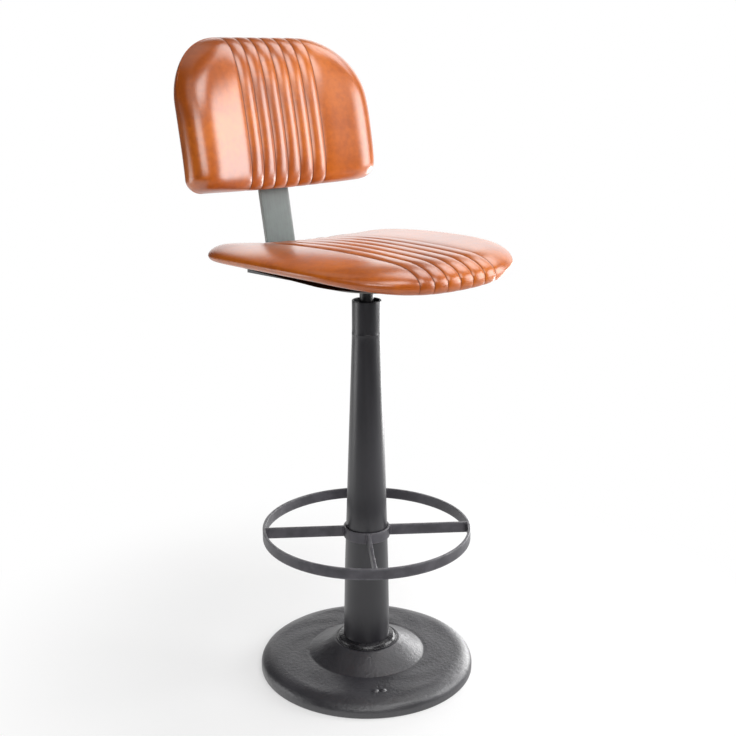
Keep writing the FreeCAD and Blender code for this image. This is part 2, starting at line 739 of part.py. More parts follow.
# The back: a cover and a board on the upright, and a ribbed pad with wide top corners around the board.
back_screws, back_tees, back_tee_solids = screw_set(
    "back", back_screw_places, "-bar_thickness - screw_head_height",
    "bar_thickness + back_cover_thickness + back_board_thickness",
    "back_cover_thickness + back_board_thickness", "back_board_thickness", True)
nodes["back_screws"] = group("back_screws", back_screws)
nodes["back_tee_nuts"] = group("back_tee_nuts", back_tees)


def back_outline(margin):
    return rounded_outline(f"back_half_width - {margin}", f"back_bottom + {margin}",
                           f"back_bottom + back_height - {margin}",
                           f"back_bottom_round - {margin}", f"back_top_round - {margin}")


back_panels = {}
for name, margin, thickness, lift in (
        ("cover", "back_cover_margin", "back_cover_thickness", "0"),
        ("board", "back_board_margin", "back_board_thickness", "back_cover_thickness")):
    back_panels[name] = panel("back_" + name + "_blank", back_outline(margin), thickness, lift)
    place(back_panels[name], lean=True)
cover_screw_holes = [cylinder(f"back_cover_hole_{number}", "screw_radius + hole_clearance",
                              "back_cover_thickness", x, up, "0", lean=True)
                     for number, (x, up) in enumerate(back_screw_places, 1)]
nodes["back_cover"] = cut("back_cover", back_panels["cover"], *cover_screw_holes)
nodes["back_board"] = cut("back_board", back_panels["board"], *back_tee_solids)


def back_section(rise, roll, tip_lift):
    """Section at a height above the pad's lower edge. Roll is 0 at the fullest height and 1 at an edge's tip,
    where the rim stands the tip's lift off the cover."""
    height = size("back_height")
    half = size("back_half_width")
    for round_size, distance in ((size("back_bottom_round"), rise), (size("back_top_round"), height - rise)):
        if distance < round_size:
            half -= round_size - sqrt(round_size ** 2 - (round_size - distance) ** 2)
    low = size("back_cover_thickness")
    rim_lift = size("back_rim_lift")
    rim = low + rim_lift + (tip_lift - rim_lift) * roll
    top = size("back_thickness")
    top -= (top - rim - size("rib_rise")) * roll
    return ribbed_section(size("back_bottom") + rise, half, low, rim, top, size("back_tuck"),
                          size("back_shoulder"), size("back_panel_rise") * (1 - roll),
                          size("back_rib_pitch"), size("rib_rise") * (1 - NOSE_RIB_SHARE * roll))


BACK_ROLLS = (82, 66, 50, 32, 14)
low_nose = size("back_low_nose")
top_nose = size("back_height - back_low_nose")
back_stations = []
for angle in BACK_ROLLS:
    turn = radians(angle)
    back_stations.append((low_nose * (1 - sin(turn)), 1 - cos(turn), size("back_rim_lift")))
back_stations.append((low_nose, 0, size("back_rim_lift")))
for angle in reversed(BACK_ROLLS):
    turn = radians(angle)
    back_stations.append((low_nose + top_nose * sin(turn), 1 - cos(turn), size("back_top_rim_lift")))
back_pad = ribbed_pad("back_pad", [back_section(*station) for station in back_stations])
back_pocket = panel("back_pocket", back_outline("back_board_margin"), "back_board_thickness",
                    "back_cover_thickness")
nodes["back_cushion"] = cut("back_cushion", back_pad, back_pocket)
place(nodes["back_cushion"], lean=True)

# Label, rebuild, check and write every sub-part.
for name, piece in nodes.items():
    piece.Label = name
doc.recompute()
for piece in doc.Objects:
    if "Invalid" in piece.State or "Error" in piece.State:
        raise RuntimeError(f"{piece.Name} failed: {piece.State}")
os.makedirs("parts", exist_ok=True)
for name, piece in nodes.items():
    shape = piece.Shape
    if shape.isNull() or not shape.isValid() or not shape.Solids:
        raise RuntimeError(f"{name} has no valid solid")
    shape.exportStep(os.path.join("parts", name + ".step"))
    print(f"{name}: {len(shape.Solids)} solid, {shape.Volume / 1000:.1f} cm3")
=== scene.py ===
from math import cos, pi, radians, sin, tan

import bpy
import numpy as np
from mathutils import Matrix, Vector


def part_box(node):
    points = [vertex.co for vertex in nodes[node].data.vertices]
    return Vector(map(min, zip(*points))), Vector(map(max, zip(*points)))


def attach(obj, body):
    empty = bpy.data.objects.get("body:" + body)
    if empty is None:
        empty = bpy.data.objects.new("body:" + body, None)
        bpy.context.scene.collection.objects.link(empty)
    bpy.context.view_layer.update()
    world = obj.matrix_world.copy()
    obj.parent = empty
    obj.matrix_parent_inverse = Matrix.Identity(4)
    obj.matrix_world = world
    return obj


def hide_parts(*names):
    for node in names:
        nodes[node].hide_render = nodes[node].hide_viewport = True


# A swivel stool. Metres, z up, the swivel axis is z and the seat's front faces -y.
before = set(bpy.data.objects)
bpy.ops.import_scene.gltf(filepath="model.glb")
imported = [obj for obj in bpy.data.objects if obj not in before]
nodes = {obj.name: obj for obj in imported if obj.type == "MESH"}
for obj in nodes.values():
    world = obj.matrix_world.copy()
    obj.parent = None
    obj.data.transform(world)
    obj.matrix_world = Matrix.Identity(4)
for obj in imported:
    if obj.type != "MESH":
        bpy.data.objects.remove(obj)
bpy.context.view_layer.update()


# The floor pad is a black rubber disc glued under the casting, so that the iron doesn't mark a floor.
# It is cut from sheet with a fine fabric print, and only its edge shows, as a dark line on the floor.
class Wire:
    """An output socket of a shader. Sums, differences and products of wires and numbers each add one Math
    node, and make() adds a node of any other type."""

    def __init__(self, tree, socket=None):
        self.tree = tree
        self.socket = socket

    def make(self, kind, output=0, sockets=(), stops=(), **settings):
        """A node of that type: settings and a ramp's stops are set first, then values or links of sockets."""
        node = self.tree.nodes.new(kind)
        for name, value in settings.items():
            setattr(node, name, value)
        for number, (place, colour) in enumerate(stops):
            steps = node.color_ramp.elements
            step = steps[number] if number < 2 else steps.new(place)
            step.position = place
            step.color = colour
        for name, value in dict(sockets).items():
            if isinstance(value, Wire):
                self.tree.links.new(value.socket, node.inputs[name])
            else:
                node.inputs[name].default_value = value
        return Wire(self.tree, node.outputs[output])

    def combine(self, operation, first, second):
        return self.make("ShaderNodeMath", 0, {0: first, 1: second}, operation=operation)

    def __add__(self, other):
        return self.combine("ADD", self, other)

    __radd__ = __add__

    def __sub__(self, other):
        return self.combine("SUBTRACT", self, other)

    def __rsub__(self, other):
        return self.combine("SUBTRACT", other, self)

    def __mul__(self, other):
        return self.combine("MULTIPLY", self, other)

    __rmul__ = __mul__

    def between(self, low, high):
        """0 below low, 1 above high and a smooth step from one to the other."""
        return self.make("ShaderNodeMapRange", 0, {0: self, 1: low, 2: high}, interpolation_type="SMOOTHSTEP")

    def mix(self, first, second):
        """A colour that goes from the first to the second as this wire goes from 0 to 1."""
        return self.make("ShaderNodeMix", 2, {0: self, 6: first, 7: second}, data_type="RGBA")


def shade(red, green, blue):
    """A screen colour, 0 to 255 a channel, as linear light with an alpha of 1."""
    channels = np.array([red, green, blue]) / 255
    linear = np.where(channels <= 0.04045, channels / 12.92, ((channels + 0.055) / 1.055) ** 2.4)
    return (*linear.tolist(), 1.0)


def new_finish(name, **constants):
    """A material with one Principled shader, on whose own sockets the numbers that hold all over are set."""
    material = bpy.data.materials.new(name)
    material.use_nodes = True
    shader = material.node_tree.nodes["Principled BSDF"]
    for socket, value in constants.items():
        shader.inputs[socket.replace("_", " ")].default_value = value
    return material, shader, Wire(material.node_tree)


def feed(shader, **wires):
    for socket, wire in wires.items():
        wire.tree.links.new(wire.socket, shader.inputs[socket.replace("_", " ")])


def noise(tree, scale, detail=3.0, stretch=(1, 1, 1), distortion=0.0):
    """Cloudy noise on Object coordinates, scale clouds to a metre, squeezed by stretch along each axis."""
    place = tree.make("ShaderNodeTexCoord", "Object")
    if stretch != (1, 1, 1):
        place = tree.make("ShaderNodeMapping", 0, {"Vector": place, "Scale": stretch})
    return tree.make("ShaderNodeTexNoise", 0, {"Vector": place, "Scale": scale, "Detail": detail,
                                               "Distortion": distortion})


def cells(tree, scale):
    """Cells about random points, scale of them to a metre: the distance from the nearest point."""
    place = tree.make("ShaderNodeTexCoord", "Object")
    return tree.make("ShaderNodeTexVoronoi", "Distance", {"Vector": place, "Scale": scale})


def bump(height, depth):
    """A normal from a height of 0 to 1 that stands for that depth in metres."""
    return height.make("ShaderNodeBump", 0, {"Height": height, "Distance": depth, "Strength": 1.0})


def plain_finish(name, dark, light, roughness, grain, depth, **constants):
    """A small part's finish: two tones in soft clouds, roughness that follows them and a fine grain."""
    material, shader, tree = new_finish(name, **constants)
    tone = noise(tree, grain / 12)
    feed(shader, Base_Color=tone.between(0.35, 0.7).mix(dark, light),
         Roughness=roughness + 0.16 * (tone - 0.5),
         Normal=bump(noise(tree, grain), depth))
    return material


def dress(finish, *names):
    """Gives a finish to CAD nodes that keep their own shape."""
    for name in names:
        node = nodes[name]
        node.data.materials.clear()
        node.data.materials.append(finish)


rubber = plain_finish("floor_rubber", shade(20, 20, 21), shade(34, 34, 35), 0.7, 1400, 0.0003)
dress(rubber, "floor_pad")


# The base is one sand casting in grey iron: a rolled rim that comes down around the pad, a flat, and a dome
# for the column, hollow below with a boss for the tie bolt. It is painted in dark grey over the cast skin.
FLAT_RISE = 0.025
RIM_ROLL = 0.031
RIM_DROP = 0.019
RIM_FULLNESS = 0.96
RIM_BOTTOM = 0.0006
PAD_CLEAR = 0.0004
DOME_FOOT = 0.1015
DOME_TOP = 0.057
GROOVE = 0.0005
RECESS = 0.162
RECESS_TOP = 0.014
BOSS = 0.052
POCKET = 0.027
POCKET_TOP = 0.024
BOLT_HOLE = 0.0064
CAST_WAVE = 0.00022
BASE_TURNS = 224


def rounded_loop(corners, steps=6):
    """Closed profile through corners (across, up, radius). Each corner is cut back by its radius over the
    tangent of half its angle, and bridged by an arc of that radius."""
    corners = np.array(corners, float)
    spot, radius = corners[:, :2], corners[:, 2:]
    back = np.roll(spot, 1, axis=0) - spot
    ahead = np.roll(spot, -1, axis=0) - spot
    back /= np.linalg.norm(back, axis=1, keepdims=True)
    ahead /= np.linalg.norm(ahead, axis=1, keepdims=True)
    half = np.arccos(np.clip((back * ahead).sum(1, keepdims=True), -1, 1)) / 2
    middle = back + ahead
    middle /= np.linalg.norm(middle, axis=1, keepdims=True)
    centre = spot + middle * radius / np.sin(half)
    start = spot + back * radius / np.tan(half) - centre
    end = spot + ahead * radius / np.tan(half) - centre
    sweep = pi - 2 * half
    share = np.linspace(0, 1, steps + 1)[None, :, None]
    sweep = sweep[:, :, None]
    arc = np.sin((1 - share) * sweep) * start[:, None] + np.sin(share * sweep) * end[:, None]
    return (centre[:, None] + arc / np.sin(sweep)).reshape(-1, 2)


def finer(loop, longest):
    """A closed profile with its long runs divided, so that no step is longer than the given length."""
    ahead = np.roll(loop, -1, axis=0)
    counts = np.ceil(np.linalg.norm(ahead - loop, axis=1) / longest).astype(int).clip(1)
    first = np.repeat(np.arange(len(loop)), counts)
    number = np.arange(counts.sum()) - np.repeat(np.cumsum(counts) - counts, counts)
    share = (number / counts[first])[:, None]
    return loop[first] * (1 - share) + ahead[first] * share


def grid_quads(rows, columns, wrap_rows=False, wrap_columns=False):
    """Corner numbers of the quads between neighbours on a grid, whose opposite edges may be joined."""
    index = np.arange(rows * columns).reshape(rows, columns)
    if wrap_rows:
        index = np.vstack([index, index[:1]])
    if wrap_columns:
        index = np.hstack([index, index[:, :1]])
    return np.stack([index[:-1, :-1], index[:-1, 1:], index[1:, 1:], index[1:, :-1]], axis=-1).reshape(-1, 4)


def new_piece(name, points, faces, finish, body, slot, *stands_for):
    """A smooth-shaded piece at the origin, which rides on a body and may stand for CAD nodes."""
    mesh = bpy.data.meshes.new(name)
    mesh.from_pydata(points.reshape(-1, 3).tolist(), [], [list(face) for face in faces])
    mesh.polygons.foreach_set("use_smooth", np.ones(len(mesh.polygons), dtype=bool))
    mesh.materials.append(finish)
    mesh.update()
    piece = bpy.data.objects.new(name, mesh)
    bpy.context.scene.collection.objects.link(piece)
    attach(piece, body)
    if stands_for:
        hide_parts(*stands_for)
    return piece


def turned(loop, turns):
    """Points of a profile (radius, height) turned about z: radius times cosine, radius times sine, height."""
    angle = np.arange(turns) * 2 * pi / turns
    radius, height = loop[:, :1], loop[:, 1:]
    return np.stack([radius * np.cos(angle), radius * np.sin(angle), height + 0 * angle], axis=-1)


def iron_finish(name, deep, pale, roughness, skin_depth):
    """Painted cast iron: clouds of two greys, scattered dark pits, and a sandy skin under the paint."""
    material, shader, tree = new_finish(name, Specular_IOR_Level=1.0)
    cloud = noise(tree, 16, 4.0)
    grain = noise(tree, 520, 4.0)
    pits = cells(tree, 75).between(0.16, 0.06)
    pitted = pits * noise(tree, 30).between(0.52, 0.62)
    tone = cloud.between(0.3, 0.72).mix(deep, pale)
    feed(shader, Base_Color=(pitted * 0.6).mix(tone, shade(16, 16, 18)),
         Roughness=roughness + 0.2 * (cloud - 0.5) + 0.12 * (grain - 0.5),
         Normal=bump(0.55 * grain + 0.9 * noise(tree, 150, 2.0) - 0.5 * pitted, skin_depth))
    return material


cast_iron = iron_finish("cast_iron", shade(34, 33, 38), shade(49, 48, 53), 0.4, 0.0007)
base_low, base_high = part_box("base_casting")
base_radius, base_foot, dome_height = base_high.x, base_low.z, base_high.z
flat_height = base_foot + FLAT_RISE
pad_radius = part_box("floor_pad")[1].x
rim_turn = np.radians(np.linspace(88, 4, 15))
rim_across = base_radius - RIM_ROLL * (1 - np.sin(rim_turn) ** RIM_FULLNESS)
rim_height = flat_height - RIM_DROP * (1 - np.cos(rim_turn) ** RIM_FULLNESS)
rim_corners = [(across, height, 0.003) for across, height in zip(rim_across, rim_height)]
base_loop = finer(rounded_loop([
    (BOLT_HOLE, POCKET_TOP, 0.0005),
    (POCKET, POCKET_TOP, 0.001),
    (POCKET, base_foot, 0.001),
    (BOSS, base_foot, 0.0015),
    (BOSS, RECESS_TOP, 0.003),
    (RECESS, RECESS_TOP, 0.003),
    (RECESS, base_foot, 0.0015),
    (pad_radius + PAD_CLEAR, base_foot, 0.0006),
    (pad_radius + PAD_CLEAR, RIM_BOTTOM, 0.0006),
    (base_radius, RIM_BOTTOM, 0.0022),
    *rim_corners,
    (DOME_FOOT + 0.006, flat_height, 0.012),
    (DOME_FOOT, flat_height - GROOVE, 0.006),
    (DOME_TOP, dome_height, 0.004),
    (BOLT_HOLE, dome_height, 0.0005),
], 8), 0.004)
base_points = turned(base_loop, BASE_TURNS)
base_angle = np.arange(BASE_TURNS) * 2 * pi / BASE_TURNS
wave = np.sin(5 * base_angle + 90 * base_loop[:, :1]) + np.sin(9 * base_angle - 140 * base_loop[:, :1] + 1)
above_recess = np.clip((base_loop[:, 1:] - RECESS_TOP - 0.002) / 0.004, 0, 1)
clear_of_column = np.clip((base_loop[:, :1] - DOME_TOP) / 0.01, 0, 1)
base_points[:, :, 2] += CAST_WAVE * wave * above_recess * clear_of_column
new_piece("painted_base_casting", base_points, grid_quads(*base_points.shape[:2], True, True), cast_iron,
          "stand", "cast_iron", "base_casting")


# Two small pips stand on the flat near the rim, where the feeders of the mould were broken off the casting
# and ground down before painting.
PIP_RADIUS = 0.0048
PIP_HEIGHT = 0.0022
PIP_PLACES = ((-0.0815, -0.121), (-0.070, -0.1275))


def low_dome(across, height, rings=9, sides=28):
    """A low dome on its flat: radius is sine and height is cosine of a quarter turn, flared at the foot."""
    turn = np.linspace(0.02, 1, rings)[:, None] * pi / 2
    angle = np.arange(sides)[None] * 2 * pi / sides
    radius = across * np.sin(turn) * (1 + 0.25 * np.sin(turn) ** 8)
    rise = height * np.cos(turn) + 0 * angle
    return np.stack([radius * np.cos(angle), radius * np.sin(angle), rise], axis=-1)


pip = low_dome(PIP_RADIUS, PIP_HEIGHT)[::-1]
pip_quads = grid_quads(*pip.shape[:2], wrap_columns=True)
pip_tops = np.arange(pip[..., 0].size - pip.shape[1], pip[..., 0].size)[None]
pip_points = np.concatenate([pip.reshape(-1, 3) + (x, y, flat_height) for x, y in PIP_PLACES])
pip_faces = []
for number in range(len(PIP_PLACES)):
    first = number * pip[..., 0].size
    pip_faces += (pip_quads + first).tolist()
    pip_faces += (pip_tops + first).tolist()
new_piece("casting_pips", pip_points, pip_faces, cast_iron, "stand", "cast_iron")


# The tie bolt, its washer and the column's end plate lie inside the base and pull the column down onto
# it. They are plain bright-zinc and mill-finish steel.
zinc = plain_finish("bright_zinc", shade(150, 152, 156), shade(190, 192, 196), 0.3, 2200, 0.0001,
                    Metallic=0.9)
mill_steel = plain_finish("mill_steel", shade(92, 91, 92), shade(128, 127, 128), 0.45, 1800, 0.0002,
                          Metallic=0.8)
dress(zinc, "tie_bolt", "tie_washer", "collar_screws")
dress(mill_steel, "column_end_plate")


# The column is a tapered steel tube with a short straight neck, seamed where the two meet, and is sprayed
# in satin charcoal that shows faint runs down its length.
COLUMN_WALL = 0.003
COLUMN_LINE = ((0.0403, 0.052), (0.0394, 0.115), (0.0378, 0.199), (0.0245, 0.609))
NECK_SEAM = 0.0004
NECK_SEAM_HALF = 0.0016
COLUMN_TURNS = 128


def sprayed_finish(name, deep, pale, roughness, run_stretch):
    """Sprayed satin paint: clouds and faint runs along z, an orange-peel skin and fine dust in the gloss."""
    material, shader, tree = new_finish(name, Specular_IOR_Level=0.7)
    runs = noise(tree, 42, 3.0, (1, 1, run_stretch))
    cloud = noise(tree, 9, 3.0)
    dust = noise(tree, 900, 2.0)
    feed(shader, Base_Color=(0.6 * runs + 0.4 * cloud).between(0.36, 0.66).mix(deep, pale),
         Roughness=roughness + 0.22 * (runs - 0.5) + 0.1 * (dust - 0.5),
         Normal=bump(0.3 * dust + 0.8 * noise(tree, 240, 2.0), 0.00009))
    return material


def turned_piece(name, loop, turns, finish, slot, stands_for):
    """A piece of the stand made by turning a closed profile about z."""
    points = turned(loop, turns)
    quads = grid_quads(*points.shape[:2], True, True)
    return new_piece(name, points, quads, finish, "stand", slot, stands_for)


column_paint = sprayed_finish("column_paint", shade(29, 28, 33), shade(39, 38, 43), 0.34, 0.12)
column_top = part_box("column")[1].z
neck_radius, neck_height = COLUMN_LINE[-1]
outer_wall = [(radius, height, 0.12) for radius, height in COLUMN_LINE[1:-1]]
inner_wall = [(radius - COLUMN_WALL, height, 0.12) for radius, height in COLUMN_LINE[:0:-1]]
column_loop = finer(rounded_loop([
    (*COLUMN_LINE[0], 0.0004),
    *outer_wall,
    (neck_radius, neck_height, 0.05),
    (neck_radius, column_top, 0.0009),
    (neck_radius - COLUMN_WALL, column_top, 0.0009),
    *inner_wall,
    (COLUMN_LINE[0][0] - COLUMN_WALL, COLUMN_LINE[0][1], 0.0004),
], 10), 0.006)
near_seam = np.exp(-((column_loop[:, 1] - neck_height) / NECK_SEAM_HALF) ** 2)
column_loop[:, 0] += NECK_SEAM * near_seam * (column_loop[:, 0] > neck_radius - COLUMN_WALL / 2)
turned_piece("sprayed_column", column_loop, COLUMN_TURNS, column_paint, "column_paint", "column")


# A thin flange lies around the column's foot, and a thick bead is run around the column on it and painted
# over in gloss black. The bead was laid by hand, so its width and height wander.
FLANGE_WIDTH = 0.0137
FLANGE_HEIGHT = 0.0022
BEAD_WIDTH = 0.0098
BEAD_HEIGHT = 0.0056
BEAD_SWELL = 0.004
BEAD_LIFT = 0.00015
FLANGE_TURNS = 220


def bead_finish():
    """Gloss paint over a rough bead: near black, mirror-like on its lumps, duller in the hollows."""
    material, shader, tree = new_finish("bead_gloss", Specular_IOR_Level=0.5)
    lumps = noise(tree, 85, 2.0)
    feed(shader, Base_Color=lumps.between(0.35, 0.7).mix(shade(24, 23, 26), shade(44, 43, 46)),
         Roughness=0.2 + 0.16 * lumps.between(0.4, 0.7),
         Normal=bump(lumps + 0.1 * noise(tree, 420, 2.0), 0.00012))
    return material


bead_gloss = bead_finish()
flange_bore = COLUMN_LINE[0][0] + 0.0001
flange_top = dome_height + FLANGE_HEIGHT
flange_loop = finer(rounded_loop([
    (flange_bore, dome_height, 0.0002),
    (flange_bore + FLANGE_WIDTH, dome_height, 0.0006),
    (flange_bore + FLANGE_WIDTH, flange_top, 0.001),
    (flange_bore + BEAD_WIDTH + 0.001, flange_top - 0.0006, 0.0006),
    (flange_bore + BEAD_WIDTH - 0.0015, flange_top + 0.6 * BEAD_HEIGHT, 0.004),
    (flange_bore, flange_top + BEAD_HEIGHT, 0.0004),
], 7), 0.0016)
flange_points = turned(flange_loop, FLANGE_TURNS)
angle = np.arange(FLANGE_TURNS) * 2 * pi / FLANGE_TURNS
wander = (np.sin(7 * angle) + np.sin(17 * angle + 2) + 0.7 * np.sin(41 * angle + 1)) / 2.7
on_bead = np.clip((flange_loop[:, 1:] - flange_top) / BEAD_HEIGHT, 0, 1)
off_column = np.clip((flange_loop[:, :1] - flange_bore) / 0.003, 0, 1)
flange_points[..., :2] *= 1 + BEAD_SWELL * (wander * on_bead * off_column)[..., None]
flange_points[..., 2] += BEAD_LIFT * wander * on_bead
new_piece("beaded_foot_flange", flange_points, grid_quads(*flange_points.shape[:2], True, True), bead_gloss,
          "stand", "bright_steel", "foot_flange")


# The foot ring is flat bar on edge, rolled to a hoop and welded to four spokes and a band collar. Its paint
# is paler along the edges, partly rubbed there by feet and partly a painted highlight.
SPOKE_TURN = 34.8
SPOKE_THICKNESS = 0.005
RING_THICKNESS = 0.005
COLLAR_WALL = 0.0037
EDGE_ROUND = 0.0011
PALE_EDGE_WIDTH = 0.0012
WELD_SINK = 0.0006
RING_TURNS = 240
COLLAR_TURNS = 120
SPOKE_STEPS = 40


def pale_edge_finish(name, deep, pale, pale_edge_colour):
    """Satin paint paler at the edges, partly wear and partly a painted highlight: the piece's own attribute
    says where, and clouds break the pale edge up.
    """
    material, shader, tree = new_finish(name, Specular_IOR_Level=0.5)
    edge = tree.make("ShaderNodeAttribute", "Fac", attribute_name="edge_wear_and_highlight")
    cloud = noise(tree, 36, 4.0)
    # The pale edge is partly wear and partly a painted highlight along the edges.
    pale_edge = edge * (0.35 + 0.65 * noise(tree, 90, 3.0).between(0.35, 0.65))
    feed(shader, Base_Color=(0.85 * pale_edge).mix(cloud.between(0.3, 0.7).mix(deep, pale), pale_edge_colour),
         Roughness=0.44 + 0.2 * (cloud - 0.5) - 0.12 * pale_edge,
         Normal=bump(0.5 * noise(tree, 700, 2.0) + 0.7 * noise(tree, 160, 2.0), 0.00014))
    return material


def mark(piece, name, values):
    """Writes one number for each of a piece's points, for its finish to read."""
    attribute = piece.data.attributes.new(name, "FLOAT", "POINT")
    attribute.data.foreach_set("value", np.ascontiguousarray(values, np.float32).ravel())


def bar_loop(across_low, across_high, low, high):
    """A flat bar's section with rounded edges, from its inner to its outer face and from low to high."""
    return finer(rounded_loop([(across_low, low, EDGE_ROUND), (across_high, low, EDGE_ROUND),
                               (across_high, high, EDGE_ROUND), (across_low, high, EDGE_ROUND)], 5), 0.003)


def mark_pale_edges(piece, section, share, copies):
    """Marks a bar's pale edges, part wear and part painted highlight: a share of 1 on its upper and lower
    edges, falling to 0 within millimetres.
    """
    gap = np.minimum(section[:, 1] - ring_low.z, ring_high.z - section[:, 1])
    mark(piece, "edge_wear_and_highlight", np.repeat(share * np.exp(-(gap / PALE_EDGE_WIDTH) ** 2)[:, None], copies, axis=1))


# The last colour is the pale edge: worn paint and a painted highlight together.
ring_paint = pale_edge_finish("ring_paint", shade(56, 54, 60), shade(77, 75, 81), shade(112, 111, 115))
ring_low, ring_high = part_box("foot_ring")
ring_section = bar_loop(ring_high.x - RING_THICKNESS, ring_high.x, ring_low.z, ring_high.z)
ring = turned_piece("rolled_foot_ring", ring_section, RING_TURNS, ring_paint, "ring_paint", "foot_ring")
mark_pale_edges(ring, ring_section, 1.0, RING_TURNS)

collar_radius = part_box("foot_collar")[1].x
collar_section = bar_loop(collar_radius - COLLAR_WALL, collar_radius, ring_low.z, ring_high.z)
collar = turned_piece("band_collar", collar_section, COLLAR_TURNS, ring_paint, "ring_paint", "foot_collar")
mark_pale_edges(collar, collar_section, 0.6, COLLAR_TURNS)

spoke_section = bar_loop(-SPOKE_THICKNESS / 2, SPOKE_THICKNESS / 2, ring_low.z, ring_high.z)
spoke_reach = np.linspace(collar_radius - WELD_SINK, ring_high.x - RING_THICKNESS + WELD_SINK, SPOKE_STEPS)
for quarter, side in enumerate(("front", "right", "back", "left")):
    turn = radians(90 * quarter - 90 - SPOKE_TURN)
    across, height = spoke_section[:, None, 0], spoke_section[:, None, 1]
    spoke_points = np.stack([spoke_reach * cos(turn) - across * sin(turn),
                             spoke_reach * sin(turn) + across * cos(turn), height + 0 * spoke_reach], axis=-1)
    spoke_faces = grid_quads(*spoke_points.shape[:2], wrap_rows=True)[:, ::-1]
    spoke = new_piece(f"{side}_spoke_bar", spoke_points, spoke_faces, ring_paint, "stand", "ring_paint",
                      f"foot_spoke_{side}")
    mark_pale_edges(spoke, spoke_section, 0.8, SPOKE_STEPS)


# Each spoke is welded down both sides at the ring and at the collar: short upright beads, painted with the
# rest.
WELD_RADIUS = 0.0021


def weld_bead(foot, height, rings=22, sides=12):
    """An upright bead: a round section whose radius ripples with height and closes at both ends."""
    share = np.linspace(0, 1, rings)[:, None]
    angle = np.arange(sides)[None] * 2 * pi / sides
    radius = WELD_RADIUS * np.maximum(1 - (2 * share - 1) ** 8, 0.02) ** 0.5 * (1 + 0.12 * np.sin(38 * share))
    rise = share * height + 0 * angle
    return np.stack([radius * np.cos(angle), radius * np.sin(angle), rise], axis=-1) + foot


def capped_tubes(count, rings, sides):
    """Faces of a number of like tubes: quads around each, and a cap on each of its two ends."""
    around = grid_quads(rings, sides, wrap_columns=True)
    ends = np.stack([np.arange(sides)[::-1], np.arange(sides) + (rings - 1) * sides])
    first = np.arange(count)[:, None, None] * rings * sides
    return (around + first).reshape(-1, 4).tolist() + (ends + first).reshape(-1, sides).tolist()


weld_points = []
for quarter in range(4):
    turn = radians(90 * quarter - 90 - SPOKE_TURN)
    for reach in (collar_radius + WELD_SINK, ring_high.x - RING_THICKNESS - WELD_SINK):
        for side in (-1, 1):
            across = side * (SPOKE_THICKNESS / 2 + 0.0004)
            foot = (reach * cos(turn) - across * sin(turn), reach * sin(turn) + across * cos(turn),
                    ring_low.z + 0.001)
            weld_points.append(weld_bead(foot, ring_high.z - ring_low.z - 0.002))
weld_points = np.array(weld_points)
welds = new_piece("spoke_welds", weld_points, capped_tubes(*weld_points.shape[:3]), ring_paint, "stand",
                  "ring_paint")
mark(welds, "edge_wear_and_highlight", np.zeros(len(welds.data.vertices)))


# The swivel sits in the neck: a steel bearing tube with a floor plate, two black nylon bushes and a brass
# thrust washer, pressed in from above. The spindle and its hub are blackened steel, joined by a zinc pin.
nylon = plain_finish("bush_nylon", shade(24, 24, 26), shade(38, 38, 40), 0.5, 900, 0.0002)
brass = plain_finish("thrust_brass", shade(168, 128, 62), shade(196, 156, 84), 0.3, 1500, 0.0001,
                     Metallic=1.0)
dress(mill_steel, "bearing_tube", "bearing_floor_plate")
dress(nylon, "upper_bush", "lower_bush")
dress(brass, "thrust_washer")
dress(zinc, "retaining_ring", "hub_pin")
blackened = plain_finish("blackened_steel", shade(22, 22, 24), shade(40, 40, 42), 0.36, 1200, 0.0002,
                         Specular_IOR_Level=0.6)
dress(blackened, "spindle", "seat_hub")


# The seat plate is a tapered steel plate welded to the hub, and one wide flat bar is bolted under it, bent
# up behind the seat and leaned back. The plate is blackened, and the bar has a thin satin green-grey paint.
RECLINE = radians(12)
BAR_HALF_WIDTH = 0.031
BAR_THICKNESS = 0.005
BAR_FRONT = 0.062
BAR_BEND = 0.014
UPRIGHT_REACH = 0.2334
UPRIGHT_LENGTH = 0.310
lean_up = np.array([sin(RECLINE), cos(RECLINE)])
lean_out = np.array([-cos(RECLINE), sin(RECLINE)])
plate_low, plate_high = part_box("seat_plate")


def bar_finish():
    """Thin satin paint on flat bar: fine drawn lines along the bar, pale arrises that are partly rubbed and
    partly a painted highlight, and faint stains.
    """
    material, shader, tree = new_finish("upright_steel", Specular_IOR_Level=0.9)
    edge = tree.make("ShaderNodeAttribute", "Fac", attribute_name="edge_wear_and_highlight")
    drawn = noise(tree, 420, 2.0, (1, 0.06, 0.06))
    stain = noise(tree, 55, 4.0)
    tone = (0.4 * drawn + 0.6 * stain).between(0.3, 0.7).mix(shade(50, 63, 60), shade(72, 87, 83))
    # The arrises are painted pale: partly rubbed bare, partly a painted highlight.
    feed(shader, Base_Color=(0.7 * edge).mix(tone, shade(150, 152, 152)),
         Roughness=0.36 + 0.16 * (stain - 0.5) + 0.1 * (drawn - 0.5),
         Normal=bump(0.6 * drawn + 0.6 * noise(tree, 260, 2.0), 0.00008))
    return material


upright_steel = bar_finish()
bend_corner = UPRIGHT_REACH - (plate_high.z - plate_low.z) * tan(RECLINE)
bend_start = bend_corner - BAR_BEND * tan(pi / 4 - RECLINE / 2)
bend_centre = np.array([bend_start, plate_low.z + BAR_BEND])
bend_turn = np.linspace(-pi / 2, -RECLINE, 17)
bend_away = np.stack([np.cos(bend_turn), np.sin(bend_turn)], axis=-1)
leg_run = np.linspace(BAR_FRONT, bend_start, 12)[:-1]
leg_line = np.stack([leg_run, np.full_like(leg_run, plate_low.z)], axis=-1)
bend_line = bend_centre + BAR_BEND * bend_away
upright_top = np.array([UPRIGHT_REACH, plate_high.z]) + UPRIGHT_LENGTH * lean_up
upright_share = np.linspace(0, 1, 26)[1:, None]
upright_line = bend_line[-1] * (1 - upright_share) + upright_top * upright_share
bar_line = np.concatenate([leg_line, bend_line, upright_line])
bar_away = np.concatenate([np.repeat(bend_away[:1], len(leg_line), axis=0), bend_away,
                           np.repeat(bend_away[-1:], len(upright_line), axis=0)])
